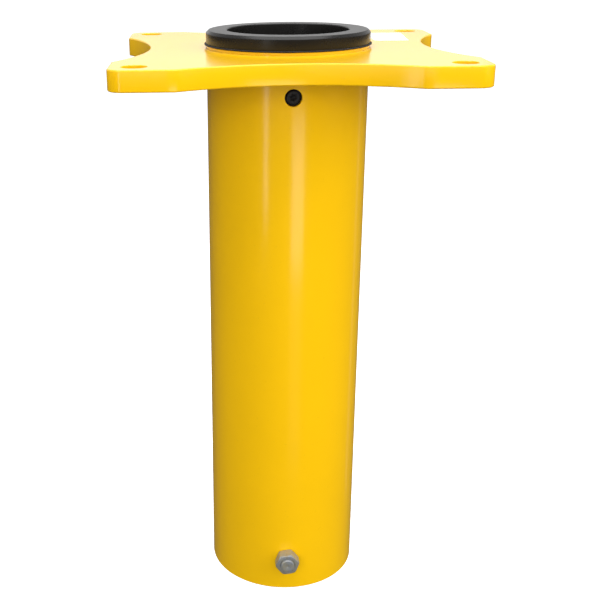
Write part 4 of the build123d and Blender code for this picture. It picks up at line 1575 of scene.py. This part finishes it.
class BOLLARD_OT_post_foot(bpy.types.Operator):
    """Make the post's foot, its guide ring, its rubber buffer and the bolt through them"""

    bl_idname = "bollard.post_foot"
    bl_label = "Post foot"

    def execute(self, context):
        kind = ("plated", "post", "zinc_steel")
        ring_piece("post_foot", *kind, 5.0 * MM, 0.2 * MM, 0.8 * MM, 144)
        inner = HIGH["post_tube"].x + 0.1 * MM
        ring_piece("guide_ring", "turned", "post", "white_nylon", inner, 0.3 * MM, 1.2 * MM, 144)
        outer, low, high = centred_box("foot_buffer")
        recess, head_hole, bolt_hole = low + 8.0 * MM, 9.0 * MM, 5.1 * MM
        corners = [
            (head_hole, low, 0.8 * MM),
            (outer, low, 2.0 * MM),
            (outer, high, 1.0 * MM),
            (bolt_hole, high, 0.2 * MM),
            (bolt_hole, recess, 0.2 * MM),
            (head_hole, recess, 0.4 * MM),
        ]
        turned_piece("foot_buffer", "moulded", "post", "black_rubber", corners, 96)
        bolt = socket_screw(
            head=8.5 * MM,
            head_height=5.5 * MM,
            shank=5.0 * MM,
            length=HIGH["buffer_bolt"].z - recess,
            half_flats=4.0 * MM,
        )
        moved(bolt, spin(180, "X"), shift(0.0, 0.0, recess))
        set_piece("buffer_bolt", *kind, bolt)
        return {"FINISHED"}


class BOLLARD_OT_screws(bpy.types.Operator):
    """Set the rings of screws in the post's wall, its foot and the cam's cover"""

    bl_idname = "bollard.screws"
    bl_label = "Rings of screws"

    def execute(self, context):
        pattern = pattern_tree()

        def ring(node, screw, finish, **values):
            """A ring of like screws as one piece, in the place of a CAD node."""
            model = linked("model", screw)
            mesh = grown_mesh(pattern, finish, Screw=model, **values)
            bpy.data.objects.remove(model)
            set_piece(node, "set", "post", finish, mesh)

        head = context.scene.bollard_sizes.wall_screw_head
        wall_screw = countersunk_screw(
            head, shank=3.0 * MM, length=14.0 * MM, half_flats=2.0 * MM, rim=0.4 * MM
        )
        for node, count, seed in (("cap_screws", 3, 11), ("lock_block_screws", 2, 12)):
            ring(
                node,
                wall_screw,
                "stainless_steel",
                Count=count,
                Radius=HIGH["post_tube"].x - 0.35 * MM,
                Height=middle(node).z,
                First_Angle=pi / 2,
                Tilt=pi / 2,
                Seed=seed,
            )
        head = 4.8 * MM
        foot_screw = socket_screw(
            head, head_height=3.6 * MM, shank=3.0 * MM, length=20.0 * MM, half_flats=2.0 * MM
        )
        ring(
            "guide_ring_screws",
            foot_screw,
            "stainless_steel",
            Count=4,
            Radius=(HIGH["guide_ring_screws"].x - head) * sqrt(2),
            Height=LOW["post_foot"].z,
            First_Angle=pi / 4,
            Tilt=pi,
            Seed=13,
        )
        head = 4.0 * MM
        cover_screw = socket_screw(
            head, head_height=5.0 * MM, shank=2.5 * MM, length=14.0 * MM, half_flats=2.0 * MM
        )
        ring(
            "cam_cover_screws",
            cover_screw,
            "black_oxide_steel",
            Count=4,
            Radius=(HIGH["cam_cover_screws"].x - head) * sqrt(2),
            Height=HIGH["cam_cover"].z,
            First_Angle=pi / 4,
            Tilt=0.0,
            Seed=14,
        )
        return {"FINISHED"}


# ---------------------------------------------------------------- lock


class BOLLARD_OT_key_head(bpy.types.Operator):
    """Make the key head, with its collar and its hexagon socket"""

    bl_idname = "bollard.key_head"
    bl_label = "Key head"

    def execute(self, context):
        collar, bottom, top = centred_box("key_head")
        radius, socket_depth = 9.0 * MM, 10.0 * MM
        collar_low = top - 10.0 * MM
        collar_high = collar_low + 3.5 * MM
        half_flats = context.scene.bollard_sizes.key_socket
        corners = [
            (0.0, bottom, 0.0),
            (radius, bottom, 0.3 * MM),
            (radius, collar_low, 0.2 * MM),
            (collar, collar_low, 0.3 * MM),
            (collar, collar_high, 0.5 * MM),
            (radius, collar_high, 0.4 * MM),
            (radius, top, 0.8 * MM),
            (half_flats * 1.24, top, 0.0),
        ]
        profile = rounded(corners, False) + socket_rings(half_flats, top, socket_depth)
        mesh = turned_mesh(profile)
        set_piece("key_head", "turned", "lock_spindle", "stainless_steel", mesh)
        return {"FINISHED"}


class BOLLARD_OT_lock_bolts(bpy.types.Operator):
    """Make the two round lock bolts, ground on their sides and chamfered at their tips"""

    bl_idname = "bollard.lock_bolts"
    bl_label = "Lock bolts"

    def execute(self, context):
        chamfer, edge = 1.0 * MM, 0.3 * MM
        for side, node in ((1, "lock_bolt_right"), (-1, "lock_bolt_left")):
            start, end = sorted((abs(LOW[node].x), abs(HIGH[node].x)))
            radius = (HIGH[node].z - LOW[node].z) / 2
            corners = [
                (0.0, start, 0.0),
                (radius, start, 0.4 * MM),
                (radius, end - chamfer, edge),
                (radius - chamfer, end, edge),
                (0.0, end, 0.0),
            ]
            place = (spin(90 * side, "Y"), shift(0.0, 0.0, middle(node).z))
            turned_piece(node, "ground", node, "stainless_steel", corners, 72, *place)
        return {"FINISHED"}


class BOLLARD_OT_inner_parts(bpy.types.Operator):
    """Give the lock's inner parts their finishes"""

    bl_idname = "bollard.inner_parts"
    bl_label = "Inner parts"

    def execute(self, context):
        finishes = {
            "lock_block": "zinc_steel",
            "cam_cover": "zinc_steel",
            "lower_rod_bearing": "bearing_bronze",
            "upper_rod_bearing": "bearing_bronze",
            "lock_cam": "stainless_steel",
            "lock_rod": "stainless_steel",
            "rod_circlip": "black_oxide_steel",
            "key_pin": "stainless_steel",
            "cam_pin_right": "stainless_steel",
            "cam_pin_left": "stainless_steel",
        }
        for name, finish in finishes.items():
            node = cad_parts[name]
            if not node.material_slots:
                raise RuntimeError(f"{name} has no material slot")
            for held in node.material_slots:
                held.material = FINISHES[finish]
        return {"FINISHED"}


# ---------------------------------------------------------------- stage


def sky(world, studio):
    """A plain room light, pale above the floor's level and dim below it."""
    world.use_nodes = True
    world.node_tree.nodes.clear()
    graph = Graph(world.node_tree)
    _, _, up = graph.parts(graph.add("ShaderNodeTexCoord", out="Generated"))
    above = graph.ramp(up, (0.0, 0.0), (0.015, 1.0))
    climb = graph.ramp(up, (0.10, 1.0), (0.35, 0.0))
    level = studio.sky_light + climb * (studio.horizon_light - studio.sky_light)
    level = studio.low_light + above * (level - studio.low_light)
    glow = graph.add("ShaderNodeBackground", {"Color": (1.0, 1.0, 1.0, 1.0), "Strength": level})
    graph.add("ShaderNodeOutputWorld", {"Surface": glow})


def softbox(name, azimuth, reach, height, aim, width, tall, power, glossy=True):
    """An area light, placed round the tube from the front, that faces a point on its axis."""
    lamp = bpy.data.lights.new(name, "AREA")
    lamp.shape = "RECTANGLE"
    lamp.size = width
    lamp.size_y = tall
    lamp.energy = power
    light = linked(name, lamp)
    turn = radians(azimuth)
    light.location = (reach * sin(turn), -reach * cos(turn), height)
    facing = Vector((0.0, 0.0, aim)) - light.location
    light.rotation_euler = facing.to_track_quat("-Z", "Y").to_euler()
    light.visible_camera = False
    light.visible_glossy = glossy


class BOLLARD_OT_stage(bpy.types.Operator):
    """Make the camera, the room light, the softboxes and the pale floor"""

    bl_idname = "bollard.stage"
    bl_label = "Stage"

    def execute(self, context):
        scene = context.scene
        studio = scene.bollard_studio
        lens = bpy.data.cameras.new("camera")
        lens.lens = studio.camera_lens
        lens.sensor_width = 36.0
        lens.shift_x = studio.camera_shift
        lens.clip_end = 100.0
        camera = linked("camera", lens)
        reach, turn = studio.camera_reach, studio.camera_azimuth
        camera.matrix_world = (
            shift(reach * sin(turn), -reach * cos(turn), studio.camera_height)
            @ Matrix.Rotation(studio.camera_heading, 4, "Z")
            @ Matrix.Rotation(pi / 2 - studio.camera_pitch, 4, "X")
            @ Matrix.Rotation(studio.camera_roll, 4, "Z")
        )
        scene.camera = camera

        side = studio.floor_size / 2
        corners = [(-side, -side, 0.0), (side, -side, 0.0), (side, side, 0.0), (-side, side, 0.0)]
        mesh = bpy.data.meshes.new("floor")
        mesh.from_pydata(corners, [], [(0, 1, 2, 3)])
        mesh.materials.append(FINISHES["pale_floor"])
        floor = linked("floor", mesh)
        floor.visible_glossy = False
        floor.visible_diffuse = False
        floor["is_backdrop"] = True

        scene.world = bpy.data.worlds.new("room")
        sky(scene.world, studio)
        scene.view_settings.view_transform = "Standard"
        # azimuth, reach, height, aim, width and tall, in degrees and metres, then the power
        softbox("key", 62.0, 1.9, 1.1, 0.3, 1.2, 1.6, studio.key_power, glossy=False)
        softbox("front", -14.0, 2.2, 0.9, 0.3, 1.6, 1.2, studio.front_power, glossy=False)
        softbox("overhead", 0.0, 0.1, 2.2, 0.3, 1.8, 1.8, studio.top_power)
        softbox("back", 180.0, 2.0, 1.3, 0.3, 1.6, 1.0, studio.back_power)
        softbox("thin strip", -32.0, 0.95, 0.7, 0.7, 0.08, 1.0, studio.strip_power)
        softbox("window", 12.0, 0.95, 0.25, 0.25, 0.28, 0.3, studio.window_power)
        softbox("window tail", 12.0, 0.95, 0.0, 0.0, 0.28, 0.7, studio.window_tail_power)
        softbox("edge strip", 120.0, 1.2, 0.2, 0.2, 0.1, 1.6, studio.edge_power)
        return {"FINISHED"}


class BOLLARD_PT_panel(bpy.types.Panel):
    """Lists the bollard's operators and settings"""

    bl_idname = "BOLLARD_PT_panel"
    bl_label = "Retractable bollard"
    bl_space_type = "VIEW_3D"
    bl_region_type = "UI"
    bl_category = "Bollard"

    def draw(self, context):
        column = self.layout.column(align=True)
        for operator in OPERATORS:
            column.operator(operator.bl_idname)
        for group in ("bollard_sizes", "bollard_colours", "bollard_studio"):
            settings = getattr(context.scene, group)
            box = self.layout.box()
            for name in settings.bl_rna.properties.keys():
                if name not in ("rna_type", "name"):
                    box.prop(settings, name)


OPERATORS = (
    BOLLARD_OT_finishes,
    BOLLARD_OT_housing_tube,
    BOLLARD_OT_mounting_plate,
    BOLLARD_OT_plate_weld,
    BOLLARD_OT_blank_label,
    BOLLARD_OT_guide_bushing,
    BOLLARD_OT_seals,
    BOLLARD_OT_bushing_screw,
    BOLLARD_OT_stop_bolt,
    BOLLARD_OT_post_tube,
    BOLLARD_OT_reflective_band,
    BOLLARD_OT_post_cap,
    BOLLARD_OT_lift_handle,
    BOLLARD_OT_post_foot,
    BOLLARD_OT_screws,
    BOLLARD_OT_key_head,
    BOLLARD_OT_lock_bolts,
    BOLLARD_OT_inner_parts,
    BOLLARD_OT_stage,
)
GROUPS = (BollardSizes, BollardColours, BollardStudio)


def register():
    for group in (*GROUPS, *OPERATORS, BOLLARD_PT_panel):
        bpy.utils.register_class(group)
    bpy.types.Scene.bollard_sizes = PointerProperty(type=BollardSizes)
    bpy.types.Scene.bollard_colours = PointerProperty(type=BollardColours)
    bpy.types.Scene.bollard_studio = PointerProperty(type=BollardStudio)


def unregister():
    del bpy.types.Scene.bollard_studio
    del bpy.types.Scene.bollard_colours
    del bpy.types.Scene.bollard_sizes
    for group in (BOLLARD_PT_panel, *reversed(OPERATORS), *reversed(GROUPS)):
        bpy.utils.unregister_class(group)


def main():
    register()
    for operator in OPERATORS:
        family, name = operator.bl_idname.split(".")
        getattr(getattr(bpy.ops, family), name)()
    boxes = {"cad": CAD_BOUNDS, "visual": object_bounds()}
    boxes = {label: [list(corner) for corner in box] for label, box in boxes.items()}


if __name__ == "__main__":
    main()
